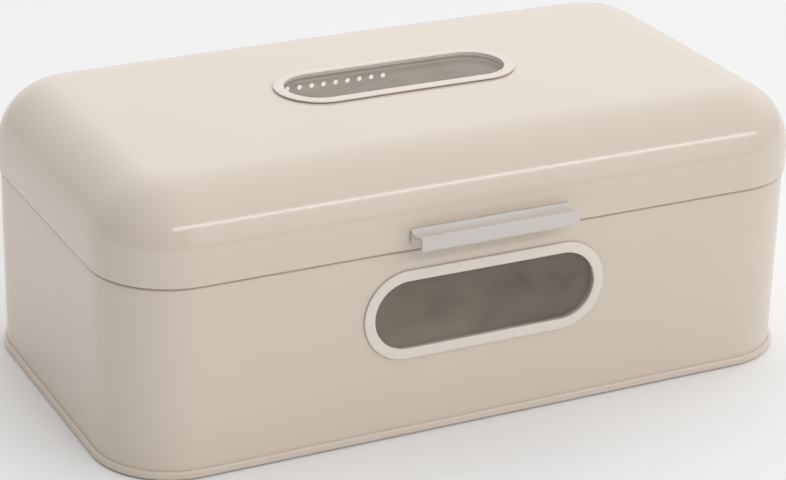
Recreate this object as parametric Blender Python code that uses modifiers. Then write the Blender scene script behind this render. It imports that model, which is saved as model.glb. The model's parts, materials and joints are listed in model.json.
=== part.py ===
"""Bread box: a painted sheet-steel body and a hinged lid, each with a clear stadium window.

The body frame has X along the length, the front at -Y and the floor at Z = 0.
Profiles are lists of (out, up) points: out is measured from the corner centres of the
outline, level and outwards, and up is a height. A profile swept round an outline makes
a sheet, a ring or a rim.
"""

import math

import bmesh
import bpy
from mathutils import Vector

MM = 0.001

# Overall size and the main outline
LENGTH = 425 * MM  # lid, left to right
DEPTH = 231 * MM  # lid, front to back, without its handle and hinges
HEIGHT = 164 * MM  # floor to the crown of the lid
CORNER_RADIUS = 44.5 * MM  # upright corners of the body, outside
BAND_HEIGHT = 13.7 * MM  # lid's upright band, from its edge to its rounding
LID_OVERHANG = 1.1 * MM  # lid band stands out past the body's wall
EDGE_RADIUS = 36 * MM  # rounding between the lid's band and its top
CROWN = 3 * MM  # rise of the lid's top towards its middle
SHEET = 0.6 * MM  # steel sheet
GAP = 0.3 * MM  # clearance left between pieces that touch
CUT_THROUGH = 12 * MM  # length of the cutters that pass through a sheet

# Rolled seam at the foot of the body
FOOT_PROUD = 0.8 * MM  # rubber feet reach below the seam by this much
SEAM_HEIGHT = 4.5 * MM
SEAM_OUT = 1.8 * MM  # seam stands out past the wall
SEAM_ROUND = 0.7 * MM
FLOOR_LEVEL = 4.4 * MM  # middle of the bottom sheet
FOOT_RADIUS = 7 * MM
FOOT_INSET = 48 * MM  # foot centre to the outside of the wall, both ways

# Shoulder, neck and rolled rim of the body
LID_REST_GAP = 0.5 * MM  # lid edge to shoulder when closed
SHOULDER_IN = 1.2 * MM
SHOULDER_RISE = 1.5 * MM
NECK_RISE = 3.9 * MM
RIM_ROLL = 1.0 * MM  # radius of the rolled rim, to the middle of the sheet

# Folded lower edge of the lid
HEM_BEND = 0.55 * MM
HEM_HEIGHT = 4 * MM

# Vent holes in the back of the lid
VENT_COUNT = 13
VENT_PITCH = 8.1 * MM
VENT_RADIUS = 1.7 * MM
VENT_RISE = 8.6 * MM  # above the lid's edge

# Windows: a pane held between a bezel outside and a retainer inside
WINDOW_STRAIGHT = 95 * MM  # straight run of the opening
WINDOW_RADIUS = 20 * MM  # round ends of the opening
FRONT_WINDOW_DROP = 38.3 * MM  # front window's centre, below the lid's edge
TOP_WINDOW_BACK = 2 * MM  # top window's centre, behind the middle of the lid
BEZEL_WIDTH = 6.25 * MM
BEZEL_PROUD = 1.5 * MM
BEZEL_ROUND = 0.45 * MM
COLLAR_WALL = 1.2 * MM
PANE_THICK = 1.5 * MM
PANE_LAP = 4.5 * MM  # pane reaches past the opening all round
PANE_RAISED = 0.9 * MM  # its middle stands out of the sheet, inside the bezel
RETAINER_WALL = 1.5 * MM
RETAINER_FLOOR = 1.2 * MM
RETAINER_LIP = 1.0 * MM  # retainer stays back from the opening by this much

# Handle: an extruded section with a back plate, a shallow cove and a front face
HANDLE_LENGTH = 96 * MM
HANDLE_REACH = 14.4 * MM  # lid's front to the handle's front
HANDLE_WALL = 1.5 * MM
HANDLE_RISE = 4.5 * MM  # lid's edge to the handle's lower edge
HANDLE_HEIGHT = 6.6 * MM  # to the upper corners, at the middle of the wall
COVE_DIP = 1.6 * MM
SCREW_SPACING = 64 * MM
SCREW_RISE = 3.8 * MM  # above the handle's lower edge
SCREW_RADIUS = 1.4 * MM
SCREW_HEAD_RADIUS = 2.8 * MM
SCREW_HEAD_HEIGHT = 1.7 * MM
SCREW_CHAMFER = 0.6 * MM
SCREW_TIP = 1.2 * MM  # screw end stands out of the back plate

# Hinges on the back
HINGE_INSET = 41.9 * MM  # hinge's middle, inwards from the end of the straight back
HINGE_WIDTH = 28 * MM
KNUCKLE_CLEARANCE = 0.4 * MM  # knuckles to the lid's band
HINGE_DROP = 1.0 * MM  # axis below the lid's edge
KNUCKLE_RADIUS = 2.3 * MM
PIN_RADIUS = 1.2 * MM
PIN_PLAY = 0.1 * MM  # radial, so that flat-sided bores still turn on the pin
PIN_PROUD = 0.6 * MM
LEAF_THICK = 1.0 * MM
LEAF_HEIGHT = 12.5 * MM
MIDDLE_KNUCKLE = 11 * MM
KNUCKLE_PLAY = 0.3 * MM
LEAF_JOG = 3.2 * MM  # below the axis, where the base leaf turns out to its knuckles
STOP_REACH = 4.4 * MM  # axis to the tip of the lid leaf's stop lug
STOP_WIDTH = 1.2 * MM
STOP_SLACK = 3  # degrees left between the lug and the base leaf when fully open
OPEN_ANGLE = 100  # degrees
RIVET_SPACING = 16 * MM
RIVET_RISE = 7.8 * MM  # rivet centres from the knuckle's edge
RIVET_RADIUS = 1.2 * MM
RIVET_HEAD_RADIUS = 2.3 * MM
RIVET_HEAD_HEIGHT = 1.0 * MM
RIVET_TAIL_RADIUS = 2.0 * MM
RIVET_TAIL_HEIGHT = 0.7 * MM
HOLE_PLAY = 0.3 * MM  # radial, round rivets and screws

# Facets
CORNER_STEPS = 8
EDGE_STEPS = 7
WINDOW_STEPS = 6
BEND_STEPS = 4
ROUND_STEPS = 12
KNUCKLE_STEPS = 16

# Worked out from the sizes above
EDGE_LEVEL = HEIGHT - CROWN - EDGE_RADIUS
LID_EDGE = EDGE_LEVEL - BAND_HEIGHT
BODY_LENGTH = LENGTH - 2 * LID_OVERHANG
BODY_DEPTH = DEPTH - 2 * LID_OVERHANG
CORNERS = Vector((BODY_LENGTH / 2 - CORNER_RADIUS, BODY_DEPTH / 2 - CORNER_RADIUS))
WINDOW_ENDS = Vector((WINDOW_STRAIGHT / 2, 0))
SEAM_LEVEL = FOOT_PROUD + SHEET / 2
LID_FRONT = -DEPTH / 2
WALL_FRONT = -BODY_DEPTH / 2
WALL_BACK = BODY_DEPTH / 2
LID_BACK = DEPTH / 2
BEND_LEVEL = LID_EDGE + SHEET / 2 + HEM_BEND
FRONT_WINDOW_HEIGHT = LID_EDGE - FRONT_WINDOW_DROP
HANDLE_BOTTOM = LID_EDGE + HANDLE_RISE
HANDLE_TOP = HANDLE_BOTTOM + HANDLE_HEIGHT
SCREW_HEIGHT = HANDLE_BOTTOM + SCREW_RISE
CUT_OUT_RADIUS = WINDOW_RADIUS + COLLAR_WALL + GAP
KNUCKLE_BORE = PIN_RADIUS + PIN_PLAY
HINGE_MIDDLE = CORNERS.x - HINGE_INSET
HINGE_OUT = LID_OVERHANG + KNUCKLE_CLEARANCE + KNUCKLE_RADIUS  # axis behind the body's wall
HINGE_AXIS = Vector((0, WALL_BACK + HINGE_OUT, LID_EDGE - HINGE_DROP))
STOP_CORNER = math.hypot(STOP_REACH, STOP_WIDTH / 2)
STOP_LEAD = math.degrees(math.atan2(STOP_WIDTH / 2, STOP_REACH))
STOP_CONTACT = math.degrees(math.acos((HINGE_OUT - GAP - LEAF_THICK) / STOP_CORNER)) - 180
STOP_ANGLE = STOP_CONTACT + STOP_LEAD + OPEN_ANGLE + STOP_SLACK  # lug, closed, up from level
STOP_OUT = STOP_CORNER * math.cos(math.radians(abs(STOP_ANGLE) - STOP_LEAD))
REAR_REACH = HINGE_AXIS.y + max(KNUCKLE_RADIUS, STOP_OUT)
FRONT_REACH = DEPTH / 2 + HANDLE_REACH
BODY_PLACE = Vector((0, (FRONT_REACH - REAR_REACH) / 2, 0))  # centres the whole box on Y

CREAM_PAINT = ("cream_paint", (0.62, 0.54, 0.45, 1), 0.35, 0.0)
CREAM_PLASTIC = ("cream_plastic", (0.72, 0.65, 0.57, 1), 0.4, 0.0)
CLEAR_PLASTIC = ("clear_plastic", (0.9, 0.92, 0.9, 0.3), 0.08, 0.0)
ALUMINIUM = ("satin_aluminium", (0.6, 0.59, 0.58, 1), 0.4, 1.0)
STEEL = ("zinc_steel", (0.5, 0.5, 0.5, 1), 0.35, 1.0)
RUBBER = ("dark_rubber", (0.03, 0.03, 0.03, 1), 0.8, 0.0)


def clear_scene():
    for item in list(bpy.data.objects):
        bpy.data.objects.remove(item, do_unlink=True)


def new_collection(name):
    collection = bpy.data.collections.new(name)
    bpy.context.scene.collection.children.link(collection)
    return collection


def finish(kind):
    """Material of one finish, made the first time that it is asked for."""
    name, colour, roughness, metallic = kind
    found = bpy.data.materials.get(name)
    if found:
        return found
    material = bpy.data.materials.new(name)
    material.use_nodes = True
    shader = material.node_tree.nodes["Principled BSDF"]
    shader.inputs["Base Color"].default_value = colour
    shader.inputs["Roughness"].default_value = roughness
    shader.inputs["Metallic"].default_value = metallic
    shader.inputs["Alpha"].default_value = colour[3]
    return material


class Assembly:
    """Collections and parent empties that the pieces go in."""

    def __init__(self):
        self.parts = new_collection("bread_box")
        self.cutters = new_collection("cutters")
        self.body = self.add_empty("body_frame", None, BODY_PLACE)
        self.lid = self.add_empty("lid_hinge_axis", self.body, HINGE_AXIS)

    def add_empty(self, name, parent, place):
        empty = bpy.data.objects.new(name, None)
        self.parts.objects.link(empty)
        empty.parent = parent
        empty.location = place
        return empty

    def add(self, name, mesh, group, kind, place=(0, 0, 0), turn=(0, 0, 0)):
        """One piece, at a place in the body frame, turned by degrees about X, Y and Z."""
        piece = bpy.data.objects.new(name, mesh)
        self.parts.objects.link(piece)
        mesh.materials.append(finish(kind))
        self.seat(piece, group, place, turn)
        return piece

    def add_cutter(self, name, mesh, group, place=(0, 0, 0), turn=(0, 0, 0)):
        cutter = bpy.data.objects.new(name, mesh)
        self.cutters.objects.link(cutter)
        cutter.hide_render = True
        cutter.display_type = "WIRE"
        self.seat(cutter, group, place, turn)
        return cutter

    def seat(self, piece, group, place, turn):
        piece.parent = group
        axis = HINGE_AXIS if group == self.lid else Vector((0, 0, 0))
        piece.location = Vector(place) - axis
        piece.rotation_euler = [math.radians(angle) for angle in turn]


def cut(piece, cutter):
    modifier = piece.modifiers.new(cutter.name, "BOOLEAN")
    modifier.operation = "DIFFERENCE"
    modifier.object = cutter


def thicken(piece, thickness):
    """Give an open sheet its thickness, half to each side."""
    modifier = piece.modifiers.new("sheet", "SOLIDIFY")
    modifier.thickness = thickness
    modifier.offset = 0
    modifier.use_even_offset = True


def mesh_of(shape, name, sharp=30):
    """Mesh of a finished bmesh, smooth except at its sharp edges."""
    bmesh.ops.recalc_face_normals(shape, faces=shape.faces)
    mesh = bpy.data.meshes.new(name)
    shape.to_mesh(mesh)
    shape.free()
    mesh.shade_smooth()
    mesh.set_sharp_from_angle(angle=math.radians(sharp))
    return mesh


# Profiles and outlines ---------------------------------------------------------------


def arc(out, up, radius, start, end, steps=BEND_STEPS):
    """Points of an arc round (out, up); angles in degrees, 0 outwards and 90 up."""
    points = []
    for step in range(steps + 1):
        angle = math.radians(start + (end - start) * step / steps)
        points.append((out + radius * math.cos(angle), up + radius * math.sin(angle)))
    return points


def outline_loop(shape, corners, radius, level, steps):
    """Edges of a rounded rectangle whose corner centres lie at (+-x, +-y)."""
    verts = []
    for quarter, (side, end) in enumerate(((1, 1), (-1, 1), (-1, -1), (1, -1))):
        for out, across in arc(side * corners.x, end * corners.y, radius,
                               90 * quarter, 90 * quarter + 90, steps):
            verts.append(shape.verts.new((out, across, level)))
    for pair in zip(verts, verts[1:] + verts[:1]):
        shape.edges.new(pair)
    bmesh.ops.remove_doubles(shape, verts=verts, dist=1e-7)
    return shape.edges[:]


def outward(point, corners):
    """Level direction from the corner centres' rectangle to a point round it."""
    nearest_x = max(-corners.x, min(corners.x, point.x))
    nearest_y = max(-corners.y, min(corners.y, point.y))
    return Vector((point.x - nearest_x, point.y - nearest_y, 0)).normalized()


def sweep(corners, profile, steps=CORNER_STEPS):
    """Sheet made by extruding an outline along a profile; also its first and last rims."""
    shape = bmesh.new()
    first = outline_loop(shape, corners, profile[0][0], profile[0][1], steps)
    last = first
    for here, there in zip(profile, profile[1:]):
        grown = bmesh.ops.extrude_edge_only(shape, edges=last)["geom"]
        verts = [item for item in grown if isinstance(item, bmesh.types.BMVert)]
        edges = [item for item in grown if isinstance(item, bmesh.types.BMEdge)]
        new = set(verts)
        last = [edge for edge in edges if edge.verts[0] in new and edge.verts[1] in new]
        for vert in verts:
            vert.co += outward(vert.co, corners) * (there[0] - here[0])
            vert.co.z += there[1] - here[1]
    return shape, first, last


def ring(corners, section, steps):
    """Closed ring: a closed section swept round an outline."""
    shape, _, _ = sweep(corners, section + section[:1], steps)
    bmesh.ops.remove_doubles(shape, verts=shape.verts, dist=1e-6)
    return shape


def prism(name, outlines, thickness):
    """Flat plate or bar from outlines in XY, centred on Z, with inner outlines as holes."""
    curve = bpy.data.curves.new(name, "CURVE")
    curve.dimensions = "2D"
    curve.fill_mode = "BOTH"
    curve.extrude = thickness / 2
    for outline in outlines:
        spline = curve.splines.new("POLY")
        spline.points.add(len(outline) - 1)
        for point, (x, y) in zip(spline.points, outline):
            point.co = (x, y, 0, 1)
        spline.use_cyclic_u = True
    holder = bpy.data.objects.new(name, curve)
    bpy.context.scene.collection.objects.link(holder)
    bpy.context.view_layer.update()
    solid = bpy.data.meshes.new_from_object(holder.evaluated_get(
        bpy.context.evaluated_depsgraph_get()))
    bpy.data.objects.remove(holder)
    shape = bmesh.new()
    shape.from_mesh(solid)
    bpy.data.meshes.remove(solid)
    bmesh.ops.remove_doubles(shape, verts=shape.verts, dist=1e-6)
    return mesh_of(shape, name)


def stadium(radius, steps=WINDOW_STEPS):
    """Outline with the window's straight run and round ends of the given radius."""
    half = WINDOW_STRAIGHT / 2
    return arc(half, 0, radius, -90, 90, 2 * steps) + arc(-half, 0, radius, 90, 270, 2 * steps)


def turned(name, profile):
    """Solid of revolution about Z; the profile runs from its top down its outer side."""
    mesh = bpy.data.meshes.new(name)
    shape = bmesh.new()
    verts = [shape.verts.new((radius, 0, height)) for radius, height in profile]
    for pair in zip(verts, verts[1:]):
        shape.edges.new(pair)
    shape.to_mesh(mesh)
    shape.free()
    return mesh


def spin(piece):
    modifier = piece.modifiers.new("turn", "SCREW")
    modifier.steps = ROUND_STEPS
    modifier.render_steps = ROUND_STEPS
    modifier.use_merge_vertices = True
    modifier.merge_threshold = 1e-6


def rod(name, radius, length, sides=ROUND_STEPS):
    shape = bmesh.new()
    bmesh.ops.create_cone(shape, cap_ends=True, segments=sides, radius1=radius,
                          radius2=radius, depth=length)
    return mesh_of(shape, name)


def rods(name, radius, length, places, sides=ROUND_STEPS):
    """Several parallel rods in one mesh, for cutting a row of holes."""
    shape = bmesh.new()
    for place in places:
        made = bmesh.ops.create_cone(shape, cap_ends=True, segments=sides, radius1=radius,
                                     radius2=radius, depth=length)
        bmesh.ops.translate(shape, verts=made["verts"], vec=Vector(place))
    return mesh_of(shape, name)


# Body --------------------------------------------------------------------------------


def wall_profile():
    """Middle of the wall's sheet: foot flange, wall, shoulder, neck and rolled rim."""
    wall = CORNER_RADIUS - SHEET / 2
    neck = wall - SHOULDER_IN
    flange_level = SEAM_LEVEL + SHEET + GAP
    neck_level = LID_EDGE - LID_REST_GAP
    shoulder = neck_level - SHOULDER_RISE
    roll_level = neck_level + NECK_RISE
    profile = [(CORNER_RADIUS + SEAM_OUT - SHEET - GAP, flange_level), (wall, flange_level)]
    for step in range(BEND_STEPS + 1):
        share = step / BEND_STEPS
        inwards = SHOULDER_IN * (1 - math.cos(math.pi * share)) / 2
        profile.append((wall - inwards, shoulder + SHOULDER_RISE * share))
    profile += arc(neck - RIM_ROLL, roll_level, RIM_ROLL, 0, 225, BEND_STEPS + 1)
    return profile


def seam_profile():
    """Middle of the bottom sheet: floor edge, inner skirt and the seam rolled over the wall."""
    skirt = CORNER_RADIUS - SHEET - GAP - SHEET / 2
    out = CORNER_RADIUS + SEAM_OUT - SHEET / 2 - SEAM_ROUND
    top = FOOT_PROUD + SEAM_HEIGHT - SHEET / 2
    profile = [(skirt, FLOOR_LEVEL), (skirt, SEAM_LEVEL)]
    profile += arc(out, SEAM_LEVEL + SEAM_ROUND, SEAM_ROUND, -90, 0, 2)
    profile += arc(out, top - SEAM_ROUND, SEAM_ROUND, 0, 90, 2)
    profile += [(CORNER_RADIUS + GAP, top)]
    return profile


def window_cutter(assembly, name, group, place, turn):
    mesh = prism(name, [stadium(CUT_OUT_RADIUS)], CUT_THROUGH)
    return assembly.add_cutter(name, mesh, group, place, turn)


def make_base_wall(assembly):
    shape, _, _ = sweep(CORNERS, wall_profile())
    wall = assembly.add("base_wall", mesh_of(shape, "base_wall"), assembly.body, CREAM_PAINT)
    thicken(wall, SHEET)
    cut(wall, window_cutter(assembly, "front_window_hole", assembly.body,
                            (0, WALL_FRONT, FRONT_WINDOW_HEIGHT), (90, 0, 0)))
    cut(wall, rivet_holes(assembly, "wall_rivet_holes", assembly.body, base_rivet_height()))


def make_base_bottom(assembly):
    shape, floor_edge, _ = sweep(CORNERS, seam_profile())
    bmesh.ops.edgeloop_fill(shape, edges=floor_edge)
    bottom = assembly.add("base_bottom", mesh_of(shape, "base_bottom"), assembly.body,
                          CREAM_PAINT)
    thicken(bottom, SHEET)


def make_feet(assembly):
    height = FLOOR_LEVEL - SHEET / 2 - GAP
    for side, side_name in ((-1, "left"), (1, "right")):
        for end, end_name in ((-1, "front"), (1, "rear")):
            name = f"foot_{end_name}_{side_name}"
            place = (side * (BODY_LENGTH / 2 - FOOT_INSET), end * (BODY_DEPTH / 2 - FOOT_INSET),
                     height / 2)
            assembly.add(name, rod(name, FOOT_RADIUS, height), assembly.body, RUBBER, place)


# Windows -----------------------------------------------------------------------------


def bezel_section():
    """Closed section of a bezel; up is out of the sheet, from the sheet's outer face."""
    inner = WINDOW_RADIUS
    outer = WINDOW_RADIUS + BEZEL_WIDTH
    collar = WINDOW_RADIUS + COLLAR_WALL
    return [(inner, -SHEET), (collar, -SHEET), (collar, GAP), (outer, GAP),
            (outer, BEZEL_PROUD - BEZEL_ROUND), (outer - BEZEL_ROUND, BEZEL_PROUD),
            (inner + BEZEL_ROUND, BEZEL_PROUD), (inner, BEZEL_PROUD - BEZEL_ROUND)]


def retainer_section():
    """Closed section of the ring that holds the pane's edge against the sheet's back."""
    inner = WINDOW_RADIUS + RETAINER_LIP
    pocket = WINDOW_RADIUS + PANE_LAP + GAP
    outer = pocket + RETAINER_WALL
    sheet_back = -SHEET - GAP
    pocket_floor = sheet_back - PANE_THICK - GAP
    back = pocket_floor - RETAINER_FLOOR
    return [(inner, pocket_floor), (pocket, pocket_floor), (pocket, sheet_back),
            (outer, sheet_back), (outer, back), (inner, back)]


def crown_drop(x, y):
    """How far the lid's top lies below its crown."""
    across = 1 - (2 * x / LENGTH) ** 2
    along = 1 - (2 * y / DEPTH) ** 2
    return CROWN * (1 - max(across, 0) * max(along, 0))


def follow_crown(mesh, centre_y):
    """Bend a flat piece of the lid's top so that it follows the crown."""
    for vert in mesh.vertices:
        vert.co.z -= crown_drop(vert.co.x, vert.co.y + centre_y)


def pane_mesh(name):
    """Pane with a raised middle that fills the bezel's opening."""
    raised = WINDOW_RADIUS - GAP
    edge = WINDOW_RADIUS + PANE_LAP
    face = -SHEET - GAP
    profile = [(raised, PANE_RAISED), (raised, face), (edge, face), (edge, face - PANE_THICK)]
    shape, front, back = sweep(WINDOW_ENDS, profile, WINDOW_STEPS)
    bmesh.ops.edgeloop_fill(shape, edges=front)
    bmesh.ops.edgeloop_fill(shape, edges=back)
    bmesh.ops.recalc_face_normals(shape, faces=shape.faces)
    return mesh_of(shape, name)


def make_window(assembly, name, group, place, turn, crowned):
    pieces = (
        ("bezel", mesh_of(ring(WINDOW_ENDS, bezel_section(), WINDOW_STEPS), name), CREAM_PLASTIC,
         0),
        ("pane", pane_mesh(name), CLEAR_PLASTIC, 0),
        ("retainer", mesh_of(ring(WINDOW_ENDS, retainer_section(), WINDOW_STEPS), name),
         CREAM_PLASTIC, 0),
    )
    for piece, mesh, kind, level in pieces:
        for vert in mesh.vertices:
            vert.co.z += level
        if crowned:
            follow_crown(mesh, place[1])
        assembly.add(f"{name}_{piece}", mesh, group, kind, place, turn)


# Lid ---------------------------------------------------------------------------------


def lid_profile():
    """Middle of the lid's sheet: inner leg of the hem, fold, band and rounded edge."""
    band = CORNER_RADIUS + LID_OVERHANG - SHEET / 2
    profile = [(band - 2 * HEM_BEND, BEND_LEVEL + HEM_HEIGHT)]
    profile += arc(band - HEM_BEND, BEND_LEVEL, HEM_BEND, -180, 0)
    profile += arc(band - EDGE_RADIUS + SHEET / 2, EDGE_LEVEL, EDGE_RADIUS - SHEET / 2, 0, 90,
                   EDGE_STEPS)
    return profile


def lift_crown(shape):
    """Raise the top by its crown, fading out down the rounded edge."""
    for vert in shape.verts:
        share = (vert.co.z - EDGE_LEVEL) / (EDGE_RADIUS - SHEET / 2)
        share = max(0, min(1, share))
        vert.co.z += (CROWN - crown_drop(vert.co.x, vert.co.y)) * share


def slice_top(shape):
    """Cross cuts that let the top take its crown."""
    cuts = [((part * LENGTH / 8, 0, 0), (1, 0, 0)) for part in (-2, -1, 0, 1, 2)]
    cuts += [((0, part * DEPTH / 6, 0), (0, 1, 0)) for part in (-1, 0, 1)]
    for place, direction in cuts:
        everything = shape.verts[:] + shape.edges[:] + shape.faces[:]
        bmesh.ops.bisect_plane(shape, geom=everything, dist=1e-6, plane_co=place,
                               plane_no=direction)


def vent_cutter(assembly):
    middle = (VENT_COUNT - 1) / 2
    places = [((index - middle) * VENT_PITCH, 0, 0) for index in range(VENT_COUNT)]
    mesh = rods("vent_holes", VENT_RADIUS, CUT_THROUGH, places)
    return assembly.add_cutter("vent_holes", mesh, assembly.lid,
                               (0, LID_BACK, LID_EDGE + VENT_RISE), (90, 0, 0))


def make_lid_shell(assembly):
    shape, _, top_edge = sweep(CORNERS, lid_profile())
    bmesh.ops.edgeloop_fill(shape, edges=top_edge)
    slice_top(shape)
    lift_crown(shape)
    lid = assembly.add("lid_shell", mesh_of(shape, "lid_shell"), assembly.lid, CREAM_PAINT)
    thicken(lid, SHEET)
    cut(lid, window_cutter(assembly, "top_window_hole", assembly.lid,
                           (0, TOP_WINDOW_BACK, HEIGHT), (0, 0, 0)))
    cut(lid, vent_cutter(assembly))
    cut(lid, screw_holes(assembly, "lid_screw_holes"))
    cut(lid, rivet_holes(assembly, "lid_rivet_holes", assembly.lid, lid_rivet_height()))


# Handle ------------------------------------------------------------------------------


def handle_line():
    """Middle of the handle's wall in (y, z), from the back plate over the cove to the front."""
    plate = LID_FRONT - GAP - HANDLE_WALL / 2
    face = LID_FRONT - HANDLE_REACH + HANDLE_WALL / 2
    half = (plate - face) / 2
    radius = (half ** 2 + COVE_DIP ** 2) / (2 * COVE_DIP)
    lean = math.degrees(math.asin(half / radius))
    centre_up = HANDLE_TOP + radius - COVE_DIP
    cove = arc((plate + face) / 2, centre_up, radius, -90 + lean, -90 - lean, 2 * BEND_STEPS)
    return [(plate, HANDLE_BOTTOM)] + cove + [(face, HANDLE_BOTTOM)]


def screw_holes(assembly, name):
    places = [(side * SCREW_SPACING / 2, 0, 0) for side in (-1, 1)]
    mesh = rods(name, SCREW_RADIUS + HOLE_PLAY, CUT_THROUGH, places)
    return assembly.add_cutter(name, mesh, assembly.lid, (0, LID_FRONT, SCREW_HEIGHT),
                               (90, 0, 0))


def make_handle(assembly):
    shape = bmesh.new()
    verts = [shape.verts.new((-HANDLE_LENGTH / 2, y, z)) for y, z in handle_line()]
    edges = [shape.edges.new(pair) for pair in zip(verts, verts[1:])]
    grown = bmesh.ops.extrude_edge_only(shape, edges=edges)["geom"]
    far = [item for item in grown if isinstance(item, bmesh.types.BMVert)]
    bmesh.ops.translate(shape, verts=far, vec=(HANDLE_LENGTH, 0, 0))
    handle = assembly.add("handle", mesh_of(shape, "handle"), assembly.lid, ALUMINIUM)
    thicken(handle, HANDLE_WALL)
    cut(handle, screw_holes(assembly, "handle_screw_holes"))


def make_handle_screws(assembly):
    """Screws from inside the lid's band, into the handle's back plate."""
    head = SHEET + GAP
    tip = -GAP - HANDLE_WALL - SCREW_TIP
    top = head + SCREW_HEAD_HEIGHT
    profile = [(0, top), (SCREW_HEAD_RADIUS - SCREW_CHAMFER, top),
               (SCREW_HEAD_RADIUS, top - SCREW_CHAMFER), (SCREW_HEAD_RADIUS, head),
               (SCREW_RADIUS, head), (SCREW_RADIUS, tip), (0, tip)]
    for side, side_name in ((-1, "left"), (1, "right")):
        name = f"handle_screw_{side_name}"
        place = (side * SCREW_SPACING / 2, LID_FRONT, SCREW_HEIGHT)
        spin(assembly.add(name, turned(name, profile), assembly.lid, STEEL, place, (-90, 0, 0)))


# Hinges ------------------------------------------------------------------------------


def base_rivet_height():
    return HINGE_AXIS.z - KNUCKLE_RADIUS - RIVET_RISE


def lid_rivet_height():
    return HINGE_AXIS.z + KNUCKLE_RADIUS + RIVET_RISE


def hinge_places():
    return ((-HINGE_MIDDLE, "left"), (HINGE_MIDDLE, "right"))


def rivet_places():
    return [(place + side * RIVET_SPACING / 2, 0, 0) for place, _ in hinge_places()
            for side in (-1, 1)]


def rivet_holes(assembly, name, group, height):
    mesh = rods(name, RIVET_RADIUS + HOLE_PLAY, CUT_THROUGH, rivet_places())
    return assembly.add_cutter(name, mesh, group, (0, WALL_BACK, height), (90, 0, 0))


def base_leaf_outline():
    """Base leaf in (y, z) from the axis: a plate down the wall, jogged out to its knuckle."""
    back = -HINGE_OUT + GAP
    front = back + LEAF_THICK
    low = -KNUCKLE_RADIUS - LEAF_HEIGHT
    knuckle = arc(0, 0, KNUCKLE_RADIUS, -100, 180, KNUCKLE_STEPS - 4)
    return [(back, low), (front, low), (front, -LEAF_JOG)] + knuckle + [
        (back, -KNUCKLE_RADIUS)]


def lid_leaf_outline():
    """Lid leaf in (y, z) from the axis: a plate up the band, and a knuckle with a stop lug."""
    back = -HINGE_OUT + LID_OVERHANG + GAP
    front = back + LEAF_THICK
    high = KNUCKLE_RADIUS + LEAF_HEIGHT
    meet = math.degrees(math.acos(front / KNUCKLE_RADIUS))
    half_lug = math.degrees(math.asin(STOP_WIDTH / 2 / KNUCKLE_RADIUS))
    turn = math.radians(STOP_ANGLE)
    along = Vector((math.cos(turn), math.sin(turn)))
    beside = Vector((-along.y, along.x)) * STOP_WIDTH / 2
    lug = [tuple(along * STOP_REACH + beside), tuple(along * STOP_REACH - beside)]
    upper = arc(0, 0, KNUCKLE_RADIUS, meet, STOP_ANGLE + half_lug, 8)
    lower = arc(0, 0, KNUCKLE_RADIUS, STOP_ANGLE - half_lug, -180, 8)
    return [(back, high), (front, high)] + upper + lug + lower + [(back, KNUCKLE_RADIUS / 2)]


def leaf(assembly, name, outline, group, place_x):
    bore = arc(0, 0, KNUCKLE_BORE, 0, 360, KNUCKLE_STEPS)[:-1]
    mesh = prism(name, [outline, bore], HINGE_WIDTH)
    place = Vector((place_x, HINGE_AXIS.y, HINGE_AXIS.z))
    return assembly.add(name, mesh, group, STEEL, place, (90, 0, 90))


def knuckle_cutter(assembly, name, group, place_x, low, high, width):
    """Block that clears the other leaf's knuckles; low and high are heights from the axis."""
    shape = bmesh.new()
    bmesh.ops.create_cube(shape, size=1)
    reach = 2 * (STOP_REACH + HINGE_OUT)
    bmesh.ops.scale(shape, verts=shape.verts, vec=(width, reach, high - low))
    mesh = mesh_of(shape, name)
    place = (place_x, HINGE_AXIS.y, HINGE_AXIS.z + (high + low) / 2)
    return assembly.add_cutter(name, mesh, group, place)


def make_hinge(assembly, place_x, side):
    base = leaf(assembly, f"hinge_{side}_base_leaf", base_leaf_outline(), assembly.body, place_x)
    notch = MIDDLE_KNUCKLE + 2 * KNUCKLE_PLAY
    clear = KNUCKLE_RADIUS + KNUCKLE_PLAY
    cut(base, knuckle_cutter(assembly, f"{side}_base_notch", assembly.body, place_x,
                             -LEAF_JOG - KNUCKLE_PLAY, 2 * clear, notch))
    lid = leaf(assembly, f"hinge_{side}_lid_leaf", lid_leaf_outline(), assembly.lid, place_x)
    outer = (HINGE_WIDTH + MIDDLE_KNUCKLE) / 2
    for way in (-1, 1):
        cut(lid, knuckle_cutter(assembly, f"{side}_lid_notch_{way + 2}", assembly.lid,
                                place_x + way * outer, -2 * clear, clear, HINGE_WIDTH))
    for piece, group, height in ((base, assembly.body, base_rivet_height()),
                                 (lid, assembly.lid, lid_rivet_height())):
        cut(piece, rivet_holes(assembly, f"{piece.name}_holes", group, height))
    name = f"hinge_{side}_pin"
    pin = rod(name, PIN_RADIUS, HINGE_WIDTH + 2 * PIN_PROUD, KNUCKLE_STEPS)
    assembly.add(name, pin, assembly.body, STEEL, (place_x, HINGE_AXIS.y, HINGE_AXIS.z),
                 (0, 90, 0))


def rivet_profile():
    """Rivet from its outer head to its inner tail; heights from the sheet's outer face."""
    head = GAP + LEAF_THICK + GAP
    tail = -SHEET - GAP
    end = tail - RIVET_TAIL_HEIGHT
    flatness = RIVET_HEAD_HEIGHT / RIVET_HEAD_RADIUS
    dome = [(out, head + up * flatness) for out, up in arc(0, 0, RIVET_HEAD_RADIUS, 90, 0, 3)]
    return dome + [(RIVET_RADIUS, head), (RIVET_RADIUS, tail), (RIVET_TAIL_RADIUS, tail),
                   (RIVET_TAIL_RADIUS, end), (0, end)]


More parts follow.
